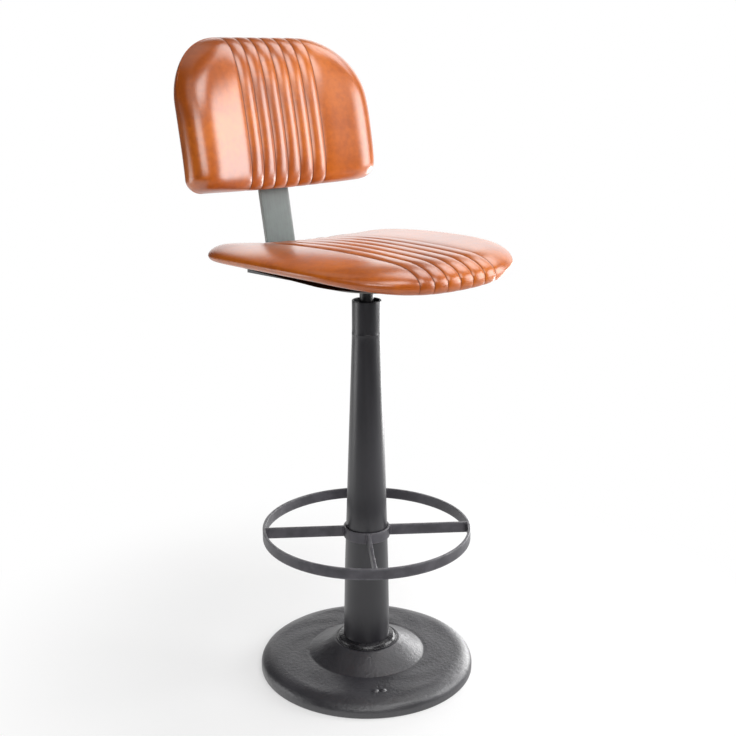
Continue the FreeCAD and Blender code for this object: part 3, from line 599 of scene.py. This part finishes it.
bar_section = finer(rounded_loop([
    (-BAR_HALF_WIDTH, 0, EDGE_ROUND), (BAR_HALF_WIDTH, 0, EDGE_ROUND),
    (BAR_HALF_WIDTH, BAR_THICKNESS, EDGE_ROUND), (-BAR_HALF_WIDTH, BAR_THICKNESS, EDGE_ROUND)], 5), 0.004)
bar_plan = bar_line[:, None] + bar_away[:, None] * bar_section[None, :, 1:]
bar_across = np.broadcast_to(bar_section[None, :, :1], bar_plan.shape[:2] + (1,))
bar_points = np.concatenate([bar_across, bar_plan], axis=-1)
bar_rows, bar_columns = bar_points.shape[:2]
bar = new_piece("bent_back_bar", bar_points, capped_tubes(1, bar_rows, bar_columns), upright_steel, "seat",
                "upright_steel", "back_upright")
# The bar's arrises are marked for the pale edge, partly wear and partly a painted highlight.
bar_pale_edges = np.exp(-((BAR_HALF_WIDTH - np.abs(bar_section[:, 0])) / 0.0009) ** 2)
mark(bar, "edge_wear_and_highlight", np.repeat(bar_pale_edges[None], bar_rows, axis=0))
dress(blackened, "seat_plate")
dress(zinc, "bar_bolts", "bar_nuts", "seat_screws", "seat_tee_nuts", "back_screws", "back_tee_nuts")


# Rubber spacers, a black dust cover and a plywood board carry the seat pad. The board's colour is painted
# shade, dark as its edge is under the seat, and its edge slopes in below, so that it hides behind the
# leather.
def plywood_finish():
    """Plywood in painted shade: dark plies in even layers along z, broken by long grain across the board."""
    material, shader, tree = new_finish("plywood")
    place = tree.make("ShaderNodeTexCoord", "Object")
    height = tree.make("ShaderNodeSeparateXYZ", "Z", {"Vector": place})
    plies = tree.make("ShaderNodeMath", 0, {0: height * (2 * pi / 0.0028)}, operation="SINE")
    grain = noise(tree, 130, 4.0, (1, 0.08, 1))
    layers = 0.5 * plies.between(-0.6, 0.6) + 0.5 * grain
    # Both tones are dark: painted shade for the board's edge under the seat.
    feed(shader, Base_Color=layers.mix(shade(36, 28, 22), shade(66, 52, 40)),
         Roughness=0.55 + 0.2 * (grain - 0.5), Normal=bump(grain, 0.0003))
    return material


def dust_cloth_finish():
    """Black bonded cloth: short fibres pressed flat, a little paler where they cross."""
    material, shader, tree = new_finish("dust_cloth", Sheen_Weight=0.3)
    fibre = cells(tree, 900)
    feed(shader, Base_Color=fibre.between(0.1, 0.6).mix(shade(34, 33, 34), shade(18, 18, 19)),
         Roughness=0.8 + 0.15 * (fibre - 0.5), Normal=bump(fibre, 0.0004))
    return material


dress(rubber, "seat_spacers")
dress(dust_cloth_finish(), "dust_cover")
dress(plywood_finish(), "seat_board", "back_board")


# The seat pad is foam under tan pull-up leather: six stuffed ribs sewn down between plain side panels, drawn
# over the rounded front and tucked in under the board. The hide is pulled lower at the front than at the
# sides, and its rear edge is a little warped.
SEAT_HALF = 0.195
SEAT_FRONT = 0.222
SEAT_REAR = 0.210
SEAT_FRONT_POWER = 3.0
SEAT_REAR_POWER = 8.0
SEAT_CROWN = 0.7582
SEAT_CROWN_FORWARD = 0.095
SEAT_REAR_FALL = 0.0185
SEAT_FRONT_FALL = 0.004
SEAT_REAR_DROP = 0.0065
SEAT_REAR_TILT = -0.052
SEAT_REAR_CUP = 0.34
SEAT_SIDE_NOSE = 0.080
SEAT_FAR_NOSE = 0.026
SEAT_FRONT_NOSE = 0.057
SEAT_REAR_NOSE = 0.050
SEAT_CORNER_NOSE = 0.028
SEAT_NOSE_SPREAD = 0.115
SEAT_HEM_REAR = 0.7225
SEAT_HEM_RISE = 0.0112
SEAT_HEM_RUN = 0.305
SEAT_HEM_FRONT = 0.7138
SEAT_SIDE_LIFT = 0.0105
SEAT_FRONT_LIFT = 0.0157
SEAT_TUCK = 0.024
HEM_TURN = 0.0004
SEAT_PITCH = 0.026
RIBS = 6
SEAT_RIB_RISE = 0.0028
SEAT_RIB_POWER = 3.0
SEAT_RIB_FADE = 0.35
RIB_COLUMNS = 14
PANEL_COLUMNS = 52
SEAT_ROWS = 180
SEAM_HALF = 0.0009
PANEL_RUN = 0.009
SEAT_FRONT_CORNER = 0.150
SEAT_REAR_CORNER = 0.180


def seat_reach(x):
    """How far the outline reaches back and forward at x: the reach times the power mean that completes 1."""
    share = np.clip(np.abs(x) / SEAT_HALF, 0, 1)
    front = SEAT_FRONT * (1 - share ** SEAT_FRONT_POWER) ** (1 / SEAT_FRONT_POWER)
    rear = -SEAT_REAR * (1 - share ** SEAT_REAR_POWER) ** (1 / SEAT_REAR_POWER)
    return rear, front


def seat_half_at(forward):
    """Half the outline's width at a distance in front of the axis."""
    reach = np.where(forward > 0, SEAT_FRONT, SEAT_REAR)
    power = np.where(forward > 0, SEAT_FRONT_POWER, SEAT_REAR_POWER)
    return SEAT_HALF * (1 - np.clip(np.abs(forward) / reach, 0, 1) ** power) ** (1 / power)


def seat_edge(x, forward):
    """Distance in from the outline, and the outline's outward direction there. The gauge is the power mean of
    the shares of half width and reach; the distance is what it lacks of 1, over its slope."""
    reach = np.where(forward > 0, SEAT_FRONT, SEAT_REAR)
    power = np.where(forward > 0, SEAT_FRONT_POWER, SEAT_REAR_POWER)
    across, along = np.abs(x) / SEAT_HALF, np.abs(forward) / reach
    gauge = np.maximum((across ** power + along ** power) ** (1 / power), 1e-6)
    slope_x = np.sign(x) * (across / gauge) ** (power - 1) / SEAT_HALF
    slope_y = np.sign(forward) * (along / gauge) ** (power - 1) / reach
    slope = np.hypot(slope_x, slope_y)
    return np.maximum((1 - gauge) / slope, 0), slope_x / slope, slope_y / slope


def seat_hem(forward, out_y):
    """Heights of the hide's lower edge and of its widest line above it. Along the sides the edge rises from
    the rear, and round the front corners it falls with the outline's turn to the front's height."""
    side = SEAT_HEM_REAR + SEAT_HEM_RISE * np.clip((forward + SEAT_REAR) / SEAT_HEM_RUN, 0, 1)
    turn = (np.arcsin(np.clip(out_y, 0, 1)) * 2 / pi) ** 1.2
    hem = side + (SEAT_HEM_FRONT - side) * turn
    return hem, hem + SEAT_SIDE_LIFT + (SEAT_FRONT_LIFT - SEAT_SIDE_LIFT) * turn, turn


def seat_height(x, forward):
    """The pad's top without its ribs: a crown that falls to the rear and the front, rolled down to the widest
    line as a quarter ellipse within a nose's width of the outline. Also the roll, 0 on the flat, 1 there."""
    edge, _, out_y = seat_edge(x, forward)
    behind = np.clip((SEAT_CROWN_FORWARD - forward) / (SEAT_REAR + SEAT_CROWN_FORWARD), 0, 1)
    ahead = np.clip((forward - SEAT_CROWN_FORWARD) / (SEAT_FRONT - SEAT_CROWN_FORWARD), 0, 1)
    rear_bend = SEAT_REAR_TILT * x + SEAT_REAR_CUP * x ** 2 - SEAT_REAR_DROP
    crown = (SEAT_CROWN - SEAT_REAR_FALL * behind ** 2 - SEAT_FRONT_FALL * ahead ** 2
             + rear_bend * behind ** 4)
    rear_nose = SEAT_CORNER_NOSE + (SEAT_REAR_NOSE - SEAT_CORNER_NOSE) * np.exp(-(x / SEAT_NOSE_SPREAD) ** 4)
    end_nose = np.where(out_y > 0, SEAT_FRONT_NOSE, rear_nose)
    side_nose = np.where(x > 0, SEAT_FAR_NOSE, SEAT_SIDE_NOSE)
    nose = side_nose + (end_nose - side_nose) * out_y ** 2
    roll = np.clip(1 - edge / nose, 0, 1)
    return crown - (crown - seat_hem(forward, out_y)[1]) * (1 - np.sqrt(1 - roll ** 2)), roll


def rib_lines(pitch, corner_x):
    """Columns across a ribbed pad, close together at the seams: a rib's by a cosine of its share, a panel's
    by a cosine from the last seam to the corner. Gives x and the panel share, 0 on the ribs."""
    step = (1 - np.cos(pi * np.arange(RIB_COLUMNS) / RIB_COLUMNS)) / 2
    ribs = (np.arange(RIBS)[:, None] + step).ravel() * pitch
    ribs = np.append(ribs, RIBS * pitch) - RIBS / 2 * pitch
    share = (1 - np.cos(pi * np.arange(1, PANEL_COLUMNS + 1) / PANEL_COLUMNS)) / 2
    panel = RIBS / 2 * pitch + share * (corner_x - RIBS / 2 * pitch)
    return (np.concatenate([-panel[::-1], ribs, panel]),
            np.concatenate([share[::-1], 0 * ribs, share]))


def end_spaced(count, closeness=0.93):
    """Shares from 0 to 1 that lie close together at both ends: the share less a sine of it."""
    share = np.linspace(0, 1, count)
    return share - closeness * np.sin(2 * pi * share) / (2 * pi)


def border(rows, columns):
    """Numbers of a grid's border points in one loop: along the first row, up the right, back and down."""
    index = np.arange(rows * columns).reshape(rows, columns)
    return np.concatenate([index[0, :-1], index[:-1, -1], index[-1, :0:-1], index[:0:-1, 0]])


def pad_faces(rows, columns, loops):
    """Quads of a pad: its top grid, the loops that go round from the top's border, and a cap on the last."""
    ring = border(rows, columns)
    below = rows * columns + np.arange(loops * len(ring)).reshape(loops, len(ring))
    index = np.vstack([ring, below])
    index = np.hstack([index, index[:, :1]])
    around = np.stack([index[1:, :-1], index[1:, 1:], index[:-1, 1:], index[:-1, :-1]], axis=-1)
    return grid_quads(rows, columns).tolist() + around.reshape(-1, 4).tolist() + [below[-1][::-1].tolist()]


def rib_profile(x, pitch, power):
    """Height of the ribs and of the panels beside them, 0 in a seam and 1 on a crest: a rib is 1 less a power
    of the distance from its middle, a panel rises from its seam and levels off. Also distance to a seam."""
    band = RIBS / 2 * pitch
    in_rib = np.mod(x + band, pitch) / pitch
    rib = 1 - np.abs(2 * in_rib - 1) ** power
    beyond = np.abs(x) - band
    panel = 1 - np.exp(-np.maximum(beyond, 0) / PANEL_RUN)
    to_seam = np.where(beyond > 0, beyond, pitch * np.minimum(in_rib, 1 - in_rib))
    return np.where(beyond > 0, panel, rib), to_seam


def point_normals(piece):
    normals = np.empty(len(piece.data.vertices) * 3, np.float32)
    piece.data.vertex_normals.foreach_get("vector", normals)
    return normals.reshape(-1, 3)


def swell(piece, points, rise):
    """Moves a pad's points out along its own normals by the given rises."""
    points = points + point_normals(piece) * rise[:, None]
    piece.data.vertices.foreach_set("co", points.astype(np.float32).ravel())
    piece.data.update()
    return points


def quilted(piece, points, x, roll, under, pitch, power, rise, fade):
    """Swells a pad's ribs and panels, less where it rolls off and is tucked under, and marks its seams and
    its rim for the leather's painted shade and duller coat: a seam by a bell curve of the distance to it,
    the rim by a power of the roll."""
    height, to_seam = rib_profile(x, pitch, power)
    points = swell(piece, points, rise * height * (1 - fade * roll) * (1 - under) ** 0.7)
    # The seam and rim marks carry painted shade: in the seams' creases and where the pad rolls off and tucks
    # under.
    mark(piece, "seam", np.exp(-(to_seam / SEAM_HALF) ** 2) * (1 - 0.6 * under))
    mark(piece, "rim", 0.4 * roll ** 4 + 0.6 * under)
    return points


def leather_finish(name, pale, tan_colour, deep):
    """Pull-up leather: tan that clouds to a paler and a deeper tone, with painted shade in the seams and
    round the rim, a pebble grain with creases between the pebbles, and a waxed coat that varies."""
    material, shader, tree = new_finish(name, Specular_IOR_Level=0.22, Coat_Roughness=0.27, Coat_IOR=1.8)
    seam = tree.make("ShaderNodeAttribute", "Fac", attribute_name="seam")
    rim = tree.make("ShaderNodeAttribute", "Fac", attribute_name="rim")
    cloud = noise(tree, 9, 3.0, distortion=0.4)
    mottle = noise(tree, 110, 4.0)
    pebble = cells(tree, 620)
    fine = noise(tree, 1500, 2.0)
    tone = (0.7 * cloud + 0.3 * mottle).between(0.3, 0.72).mix(deep, tan_colour)
    tone = (0.35 * mottle * cloud.between(0.45, 0.75)).mix(tone, pale)
    # Painted shade: deeper tan round the rim and under the tuck, and dark brown in the seams' creases.
    tone = (0.5 * rim).mix(tone, deep)
    tone = (0.7 * seam).mix(tone, shade(62, 22, 6))
    feed(shader, Base_Color=tone,
         Roughness=0.4 + 0.1 * (mottle - 0.5) + 0.08 * (cloud - 0.5) + 0.25 * seam,
         Coat_Weight=1.0 - 0.75 * seam - 0.65 * rim,
         Normal=bump(0.6 * pebble.between(0.0, 0.7) + 0.4 * fine, 0.00008))
    return material


tan_leather = leather_finish("tan_leather", shade(222, 127, 18), shade(204, 102, 0), shade(160, 73, 0))

front_x, panel_share = rib_lines(SEAT_PITCH, SEAT_FRONT_CORNER)
rear_x, _ = rib_lines(SEAT_PITCH, SEAT_REAR_CORNER)
rear_end, front_end = seat_reach(rear_x)[0], seat_reach(front_x)[1]
row_share = end_spaced(SEAT_ROWS)[:, None]
seat_forward = rear_end * (1 - row_share) + front_end * row_share
side_line = rear_x[-1] * (1 - row_share) + front_x[-1] * row_share
bow = seat_half_at(seat_forward[:, -1:]) - side_line
seat_x = rear_x * (1 - row_share) + front_x * row_share + np.sign(front_x) * panel_share ** 2 * bow
seat_z, seat_roll = seat_height(seat_x, seat_forward)
seat_columns = len(front_x)
seat_ring = border(SEAT_ROWS, seat_columns)
ring_x, ring_forward = seat_x.ravel()[seat_ring], seat_forward.ravel()[seat_ring]
_, ring_out_x, ring_out_y = seat_edge(ring_x, ring_forward)
ring_hem, ring_rim, ring_turn = seat_hem(ring_forward, ring_out_y)
board_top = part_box("seat_board")[1].z
tuck_turn = np.linspace(0, pi / 2, 15)[1:, None]
tuck_power = 2 / (2.2 + 1.3 * ring_turn)
tuck_in = SEAT_TUCK * (1 - np.cos(tuck_turn) ** tuck_power)
tuck_down = np.sin(tuck_turn) ** tuck_power
under_in = np.vstack([tuck_in, 0 * ring_x + SEAT_TUCK + 0.006, 0 * ring_x + SEAT_TUCK + 0.016])
under_z = np.vstack([ring_rim - (ring_rim - ring_hem) * tuck_down, ring_hem - HEM_TURN,
                     0 * ring_x + board_top + HEM_TURN])
under_share = np.vstack([tuck_down, np.ones((2, len(ring_x)))])
all_x = np.concatenate([seat_x.ravel(), (ring_x - ring_out_x * under_in).ravel()])
all_forward = np.concatenate([seat_forward.ravel(), (ring_forward - ring_out_y * under_in).ravel()])
all_z = np.concatenate([seat_z.ravel(), under_z.ravel()])
seat_points = np.stack([all_x, -all_forward, all_z], axis=-1)
seat_faces = [face[::-1] for face in pad_faces(SEAT_ROWS, seat_columns, len(under_in))]
seat = new_piece("seat_pad", seat_points, seat_faces, tan_leather, "seat", "tan_leather", "seat_cushion")

under_share = np.concatenate([0 * seat_x.ravel(), under_share.ravel()])
all_roll = np.concatenate([seat_roll.ravel(), np.ones(under_in.size)])
seat_points = quilted(seat, seat_points, all_x, all_roll, under_share, SEAT_PITCH, SEAT_RIB_POWER,
                      SEAT_RIB_RISE, SEAT_RIB_FADE)


# The seat's seams are sewn in waxed dark thread, one stitch every few millimetres along each channel and over
# the front, half sunk in the hide.
STITCH_STEP = 0.0042
STITCH_LENGTH = 0.0027
STITCH_RADIUS = 0.0004


def thread_finish():
    """Waxed thread: dark brown twisted in fine slanting turns, with a low sheen."""
    material, shader, tree = new_finish("waxed_thread", Sheen_Weight=0.2)
    twist = noise(tree, 2600, 2.0, (1, 0.3, 1))
    feed(shader, Base_Color=twist.between(0.3, 0.7).mix(shade(60, 26, 12), shade(104, 54, 28)),
         Roughness=0.5 + 0.2 * (twist - 0.5), Normal=bump(twist, 0.0002))
    return material


def stitched(name, paths, lifts, finish):
    """Stitches at equal steps along paths: each is a short round bead drawn out along the path, whose radius
    is 1 less a power of the distance from its middle. Lifts give the way out of the surface."""
    places, along, outward = [], [], []
    for path, lift in zip(paths, lifts):
        run = np.concatenate([[0], np.cumsum(np.linalg.norm(np.diff(path, axis=0), axis=1))])
        stops = np.arange(STITCH_STEP / 2, run[-1], STITCH_STEP)
        here, near = [np.stack([np.interp(at, run, path[:, axis]) for axis in range(3)], axis=-1)
                      for at in (stops, stops + STITCH_LENGTH / 4)]
        places.append(here)
        along.append((near - here) / np.linalg.norm(near - here, axis=1, keepdims=True).clip(1e-9))
        outward.append(np.stack([np.interp(stops, run, lift[:, axis]) for axis in range(3)], axis=-1))
    places, along, outward = np.concatenate(places), np.concatenate(along), np.concatenate(outward)
    sideways = np.cross(along, outward)
    share = np.array([-1, -0.6, 0, 0.6, 1])[None, :, None, None]
    angle = (np.arange(6) * pi / 3)[None, None, :, None]
    radius = STITCH_RADIUS * (1 - 0.8 * share ** 4)
    points = (places[:, None, None] + along[:, None, None] * share * STITCH_LENGTH / 2
              + (outward[:, None, None] * np.sin(angle) - sideways[:, None, None] * np.cos(angle)) * radius)
    return new_piece(name, points, capped_tubes(*points.shape[:3]), finish, "seat", None)


def seam_paths(piece, points, rows, columns):
    """The lines of a pad's seams from its grid, and the pad's normals along them."""
    seams = PANEL_COLUMNS + RIB_COLUMNS * np.arange(RIBS + 1)
    lines = np.arange(rows * columns).reshape(rows, columns)[:, seams].T
    normals = point_normals(piece)
    return [points[line] for line in lines], [normals[line] for line in lines]


waxed_thread = thread_finish()
stitched("seat_stitches", *seam_paths(seat, seat_points, SEAT_ROWS, seat_columns), waxed_thread)


# The back pad is made like the seat: six stuffed ribs between plain panels with wide top corners. It is
# fullest at the small of the back, rolls off to its top and bottom, and is tucked in behind round the board.
BACK_HALF = 0.193
BACK_LOW = 0.122
BACK_HIGH = 0.380
BACK_FULLEST = 0.2255
BACK_TOP_ROUND = 0.112
BACK_LOW_ROUND = 0.025
BACK_COVER = 0.004
BACK_FACE = 0.0576
BACK_BOW = 0.6
BACK_TOP_SWAY = 0.0012
BACK_SIDE_FULLNESS = 4.0
BACK_LOW_SAG = 0.004
BACK_PITCH = 0.0262
BACK_RIB_RISE = 0.0038
BACK_RIB_POWER = 2.3
BACK_RIB_FADE = 0.85
BACK_ROWS = 130
BACK_SIDE_NOSE = 0.052
BACK_SIDE_RIM = 0.043
BACK_LOW_RIM = 0.032
BACK_TOP_RIM = 0.010
BACK_TUCK = 0.030


def back_lean(x, up, out):
    """From the upright's own frame, up it and out of its front, to the stool's."""
    y = UPRIGHT_REACH + up * lean_up[0] + out * lean_out[0]
    z = plate_high.z + up * lean_up[1] + out * lean_out[1]
    return np.stack([x, y, z], axis=-1)


def back_ends(x):
    """The outline's lower and upper ends at x: nearly straight, with a little sag below and sway above, and a
    quarter circle at each corner."""
    low_in = np.maximum(np.abs(x) - (BACK_HALF - BACK_LOW_ROUND), 0)
    top_in = np.maximum(np.abs(x) - (BACK_HALF - BACK_TOP_ROUND), 0)
    low = BACK_LOW + BACK_LOW_ROUND - np.sqrt(np.maximum(BACK_LOW_ROUND ** 2 - low_in ** 2, 0))
    high = BACK_HIGH - BACK_TOP_ROUND + np.sqrt(np.maximum(BACK_TOP_ROUND ** 2 - top_in ** 2, 0))
    low = low - BACK_LOW_SAG * np.cos(pi / 2 * x / BACK_HALF)
    return low, high - BACK_TOP_SWAY * np.sin(pi * x / BACK_HALF)


def back_half_at(up):
    """Half the outline's width at a height up the upright."""
    low_in = np.maximum(BACK_LOW + BACK_LOW_ROUND - up, 0)
    top_in = np.maximum(up - BACK_HIGH + BACK_TOP_ROUND, 0)
    low = BACK_LOW_ROUND - np.sqrt(np.maximum(BACK_LOW_ROUND ** 2 - low_in ** 2, 0))
    top = BACK_TOP_ROUND - np.sqrt(np.maximum(BACK_TOP_ROUND ** 2 - top_in ** 2, 0))
    return BACK_HALF - low - top


def back_outward(x, up):
    """The outline's outward direction at a point on it: away from a corner circle's centre, or square to a
    straight side."""
    radius = np.where(up > BACK_FULLEST, BACK_TOP_ROUND, BACK_LOW_ROUND)
    middle, half_height = (BACK_LOW + BACK_HIGH) / 2, (BACK_HIGH - BACK_LOW) / 2
    out_x = np.sign(x) * np.maximum(np.abs(x) - BACK_HALF + radius, 1e-9)
    out_up = np.sign(up - middle) * np.maximum(np.abs(up - middle) - half_height + radius, 1e-9)
    length = np.hypot(out_x, out_up)
    return out_x / length, out_up / length


def back_rim(up):
    """How far the pad's widest line stands out: it goes from its size at the sides to the top's or the
    bottom's with the third power of the height above or below the fullest."""
    above = np.clip((up - BACK_FULLEST) / (BACK_HIGH - BACK_FULLEST), 0, 1) ** 3
    below = np.clip((BACK_FULLEST - up) / (BACK_FULLEST - BACK_LOW), 0, 1) ** 3
    return BACK_SIDE_RIM + (BACK_TOP_RIM - BACK_SIDE_RIM) * above + (BACK_LOW_RIM - BACK_SIDE_RIM) * below


def back_face(x, up):
    """The pad's face without its ribs: an ellipse from the fullest height to each end, whose power below
    grows to the sides, times a quarter ellipse within a nose's width of each side, bowed forward across by
    the square of x. Also the roll, 1 at the outline, and the rim."""
    low, high = back_ends(x)
    rise = np.where(up > BACK_FULLEST, (up - BACK_FULLEST) / (high - BACK_FULLEST),
                    (BACK_FULLEST - up) / (BACK_FULLEST - low)).clip(0, 1)
    half = back_half_at(up)
    side = np.clip(1 - (half - np.abs(x)) / BACK_SIDE_NOSE, 0, 1)
    rim = back_rim(up)
    fullest = BACK_FACE + BACK_BOW * x ** 2
    power = 2 + BACK_SIDE_FULLNESS * (x / BACK_HALF) ** 2 * (up < BACK_FULLEST)
    share = (1 - rise ** power) ** (1 / power) * np.sqrt(1 - side ** 2)
    return rim + (fullest - rim) * share, 1 - share, rim


low_corner = BACK_HALF - BACK_LOW_ROUND * (1 - cos(pi / 4))
top_corner = BACK_HALF - BACK_TOP_ROUND * (1 - cos(pi / 4))
low_x, back_share = rib_lines(BACK_PITCH, low_corner)
top_x, _ = rib_lines(BACK_PITCH, top_corner)
low_end, high_end = back_ends(low_x)[0], back_ends(top_x)[1]
row_share = end_spaced(BACK_ROWS)[:, None]
back_up = low_end * (1 - row_share) + high_end * row_share
side_line = low_x[-1] * (1 - row_share) + top_x[-1] * row_share
bow = back_half_at(back_up[:, -1:]) - side_line
back_x = low_x * (1 - row_share) + top_x * row_share + np.sign(low_x) * back_share ** 2 * bow
back_out, back_roll, back_rims = back_face(back_x, back_up)
back_columns = len(low_x)
back_ring = border(BACK_ROWS, back_columns)
ring_x, ring_up, ring_rim = [grid.ravel()[back_ring] for grid in (back_x, back_up, back_rims)]
ring_out_x, ring_out_up = back_outward(ring_x, ring_up)
tuck_turn = np.linspace(0, pi / 2, 15)[1:, None]
under_in = np.vstack([BACK_TUCK * (1 - np.cos(tuck_turn)), [[BACK_TUCK + 0.012]]])
under_share = np.vstack([np.sin(tuck_turn), [[1.0]]]) + 0 * ring_x
all_x = np.concatenate([back_x.ravel(), (ring_x - ring_out_x * under_in).ravel()])
all_up = np.concatenate([back_up.ravel(), (ring_up - ring_out_up * under_in).ravel()])
all_out = np.concatenate([back_out.ravel(), (ring_rim - (ring_rim - BACK_COVER) * under_share).ravel()])
back_points = back_lean(all_x, all_up, all_out)
back = new_piece("back_pad", back_points, pad_faces(BACK_ROWS, back_columns, len(under_in)), tan_leather,
                 "seat", "tan_leather", "back_cushion")

under_share = np.concatenate([0 * back_x.ravel(), under_share.ravel()])
all_roll = np.concatenate([back_roll.ravel(), np.ones(under_in.size * len(ring_x))])
back_points = quilted(back, back_points, all_x, all_roll, under_share, BACK_PITCH, BACK_RIB_POWER,
                      BACK_RIB_RISE, BACK_RIB_FADE)
stitched("back_stitches", *seam_paths(back, back_points, BACK_ROWS, back_columns), waxed_thread)

cover_leather = leather_finish("back_leather", shade(176, 96, 18), shade(158, 74, 3), shade(124, 54, 1))
dress(cover_leather, "back_cover")


# The stage is a round pale floor that keeps the stool's shadow near it and turns to plain white further off.
FLOOR_RADIUS = 2.6
FLOOR_CENTRE = (0.76, 0.93, 0.0)
FLOOR_SIDES = 96
FLOOR_GLOW = 0.5


def floor_finish():
    """White floor: it takes light and shadow like paper near the stool, and is plain white further off and
    in reflections."""
    material, shader, tree = new_finish("studio_floor", Roughness=0.9)
    shader.inputs["Base Color"].default_value = (0.9, 0.9, 0.9, 1)
    place = tree.make("ShaderNodeTexCoord", "Object")
    reach = tree.make("ShaderNodeVectorMath", "Value", {0: place}, operation="LENGTH")
    ray = tree.make("ShaderNodeLightPath", "Is Camera Ray")
    mirrored = tree.make("ShaderNodeLightPath", "Is Glossy Ray")
    through = tree.make("ShaderNodeLightPath", "Is Transmission Ray")
    white = tree.make("ShaderNodeEmission", 0, {"Color": (1, 1, 1, 1), "Strength": 1.0})
    factor = ray * (FLOOR_GLOW + (1 - FLOOR_GLOW) * reach.between(0.3, 0.85)) + mirrored + through
    lit = Wire(tree.tree, shader.outputs[0])
    both = tree.make("ShaderNodeMixShader", 0, {0: factor, 1: lit, 2: white})
    out = material.node_tree.nodes["Material Output"]
    tree.tree.links.new(both.socket, out.inputs["Surface"])
    return material


floor_mesh = bpy.data.meshes.new("studio_floor")
floor_points = turned(np.array([[FLOOR_RADIUS, 0.0]]), FLOOR_SIDES)[0] + FLOOR_CENTRE
floor_mesh.from_pydata(floor_points.tolist(), [], [list(range(FLOOR_SIDES))])
floor_mesh.materials.append(floor_finish())
floor = bpy.data.objects.new("studio_floor", floor_mesh)
bpy.context.scene.collection.objects.link(floor)


# The light is a white studio: a bright sweep behind the stool that the camera sees as white, and a dark room
# on the camera's side with softboxes on stands. The key stands at the right, a second one left of the camera,
# four hang above, and two low ones light the column and the base from the sides.
SWEEP_LEVEL = 1.55
ROOM_LEVEL = 0.06
SWEEP_FOOT = 0.9
SWEEP_TOWARD = (0.74, 0.673, 0.0)


def studio_sky():
    """The room's light by direction: the sweep's white where it lies behind the stool, fading to the room's
    level at its sides and above its top. The camera itself sees white all round."""
    world = bpy.data.worlds.new("studio_sky")
    bpy.context.scene.world = world
    world.use_nodes = True
    tree = Wire(world.node_tree)
    world.node_tree.nodes.clear()
    way = tree.make("ShaderNodeTexCoord", "Object")
    toward = tree.make("ShaderNodeVectorMath", "Value", {0: way, 1: SWEEP_TOWARD}, operation="DOT_PRODUCT")
    seen = tree.make("ShaderNodeLightPath", "Is Camera Ray")
    rise = tree.make("ShaderNodeSeparateXYZ", "Z", {"Vector": way})
    sweep = SWEEP_FOOT + (SWEEP_LEVEL - SWEEP_FOOT) * rise.between(-0.05, 0.12)
    room = ROOM_LEVEL + (sweep - ROOM_LEVEL) * toward.between(0.72, 0.88) * rise.between(0.56, 0.4)
    level = seen + (1 - seen) * room
    sky = tree.make("ShaderNodeBackground", 0, {"Color": (1, 1, 1, 1), "Strength": level})
    out = world.node_tree.nodes.new("ShaderNodeOutputWorld")
    world.node_tree.links.new(sky.socket, out.inputs["Surface"])


def softbox(name, place, target, width, height, power):
    """A rectangular lamp at a place, facing a target, unseen by the camera itself."""
    lamp = bpy.data.lights.new(name, "AREA")
    lamp.shape = "RECTANGLE"
    lamp.size = width
    lamp.size_y = height
    lamp.energy = power
    holder = bpy.data.objects.new(name, lamp)
    bpy.context.scene.collection.objects.link(holder)
    holder.location = place
    toward = np.array(target) - np.array(place)
    holder.rotation_euler = Vector(toward.tolist()).to_track_quat("-Z", "Y").to_euler()
    holder.visible_camera = False


studio_sky()
softbox("key_softbox", (1.47, -1.04, 1.1), (0, 0, 1.05), 1.0, 1.5, 29)
softbox("camera_softbox", (-1.2, -1.9, 1.45), (0, 0.2, 0.95), 1.4, 1.0, 20)
softbox("ceiling_softbox", (1.3, 0.2, 2.4), (0, 0, 0.8), 1.1, 1.1, 12)
softbox("top_softbox", (-0.15, 0.9, 2.5), (0, 0.2, 1.0), 1.2, 1.2, 2)
softbox("left_fill", (-1.3, -0.7, 2.4), (0, 0.2, 0.9), 1.6, 1.6, 5)
softbox("front_softbox", (0.1, -1.5, 2.6), (0, 0, 0.9), 1.4, 1.2, 26)
softbox("far_left_softbox", (-1.5, 1.1, 0.4), (0, 0, 0.3), 0.9, 0.8, 7)
softbox("low_wall", (1.3, 0.2, 0.28), (0, 0, 0.28), 0.8, 0.5, 11)


# The camera stands at the photograph's place: a little above the seat, on the near side of its front.
CAMERA_PLACE = (-1.2293, -1.4912, 1.0897)
CAMERA_TURN = radians(-39.5)
CAMERA_PITCH = radians(90) - 0.2731
CAMERA_LENS = 58.70
CAMERA_SENSOR = 36.0
CAMERA_SHIFT = 0.0019
camera_data = bpy.data.cameras.new("studio_camera")
camera_data.sensor_width = CAMERA_SENSOR
camera_data.lens = CAMERA_LENS
camera_data.shift_x = CAMERA_SHIFT
camera = bpy.data.objects.new("studio_camera", camera_data)
camera.location = CAMERA_PLACE
camera.rotation_euler = (CAMERA_PITCH, 0, CAMERA_TURN)
bpy.context.scene.collection.objects.link(camera)
bpy.context.scene.camera = camera
bpy.context.scene.view_settings.view_transform = "Standard"

bpy.context.view_layer.update()
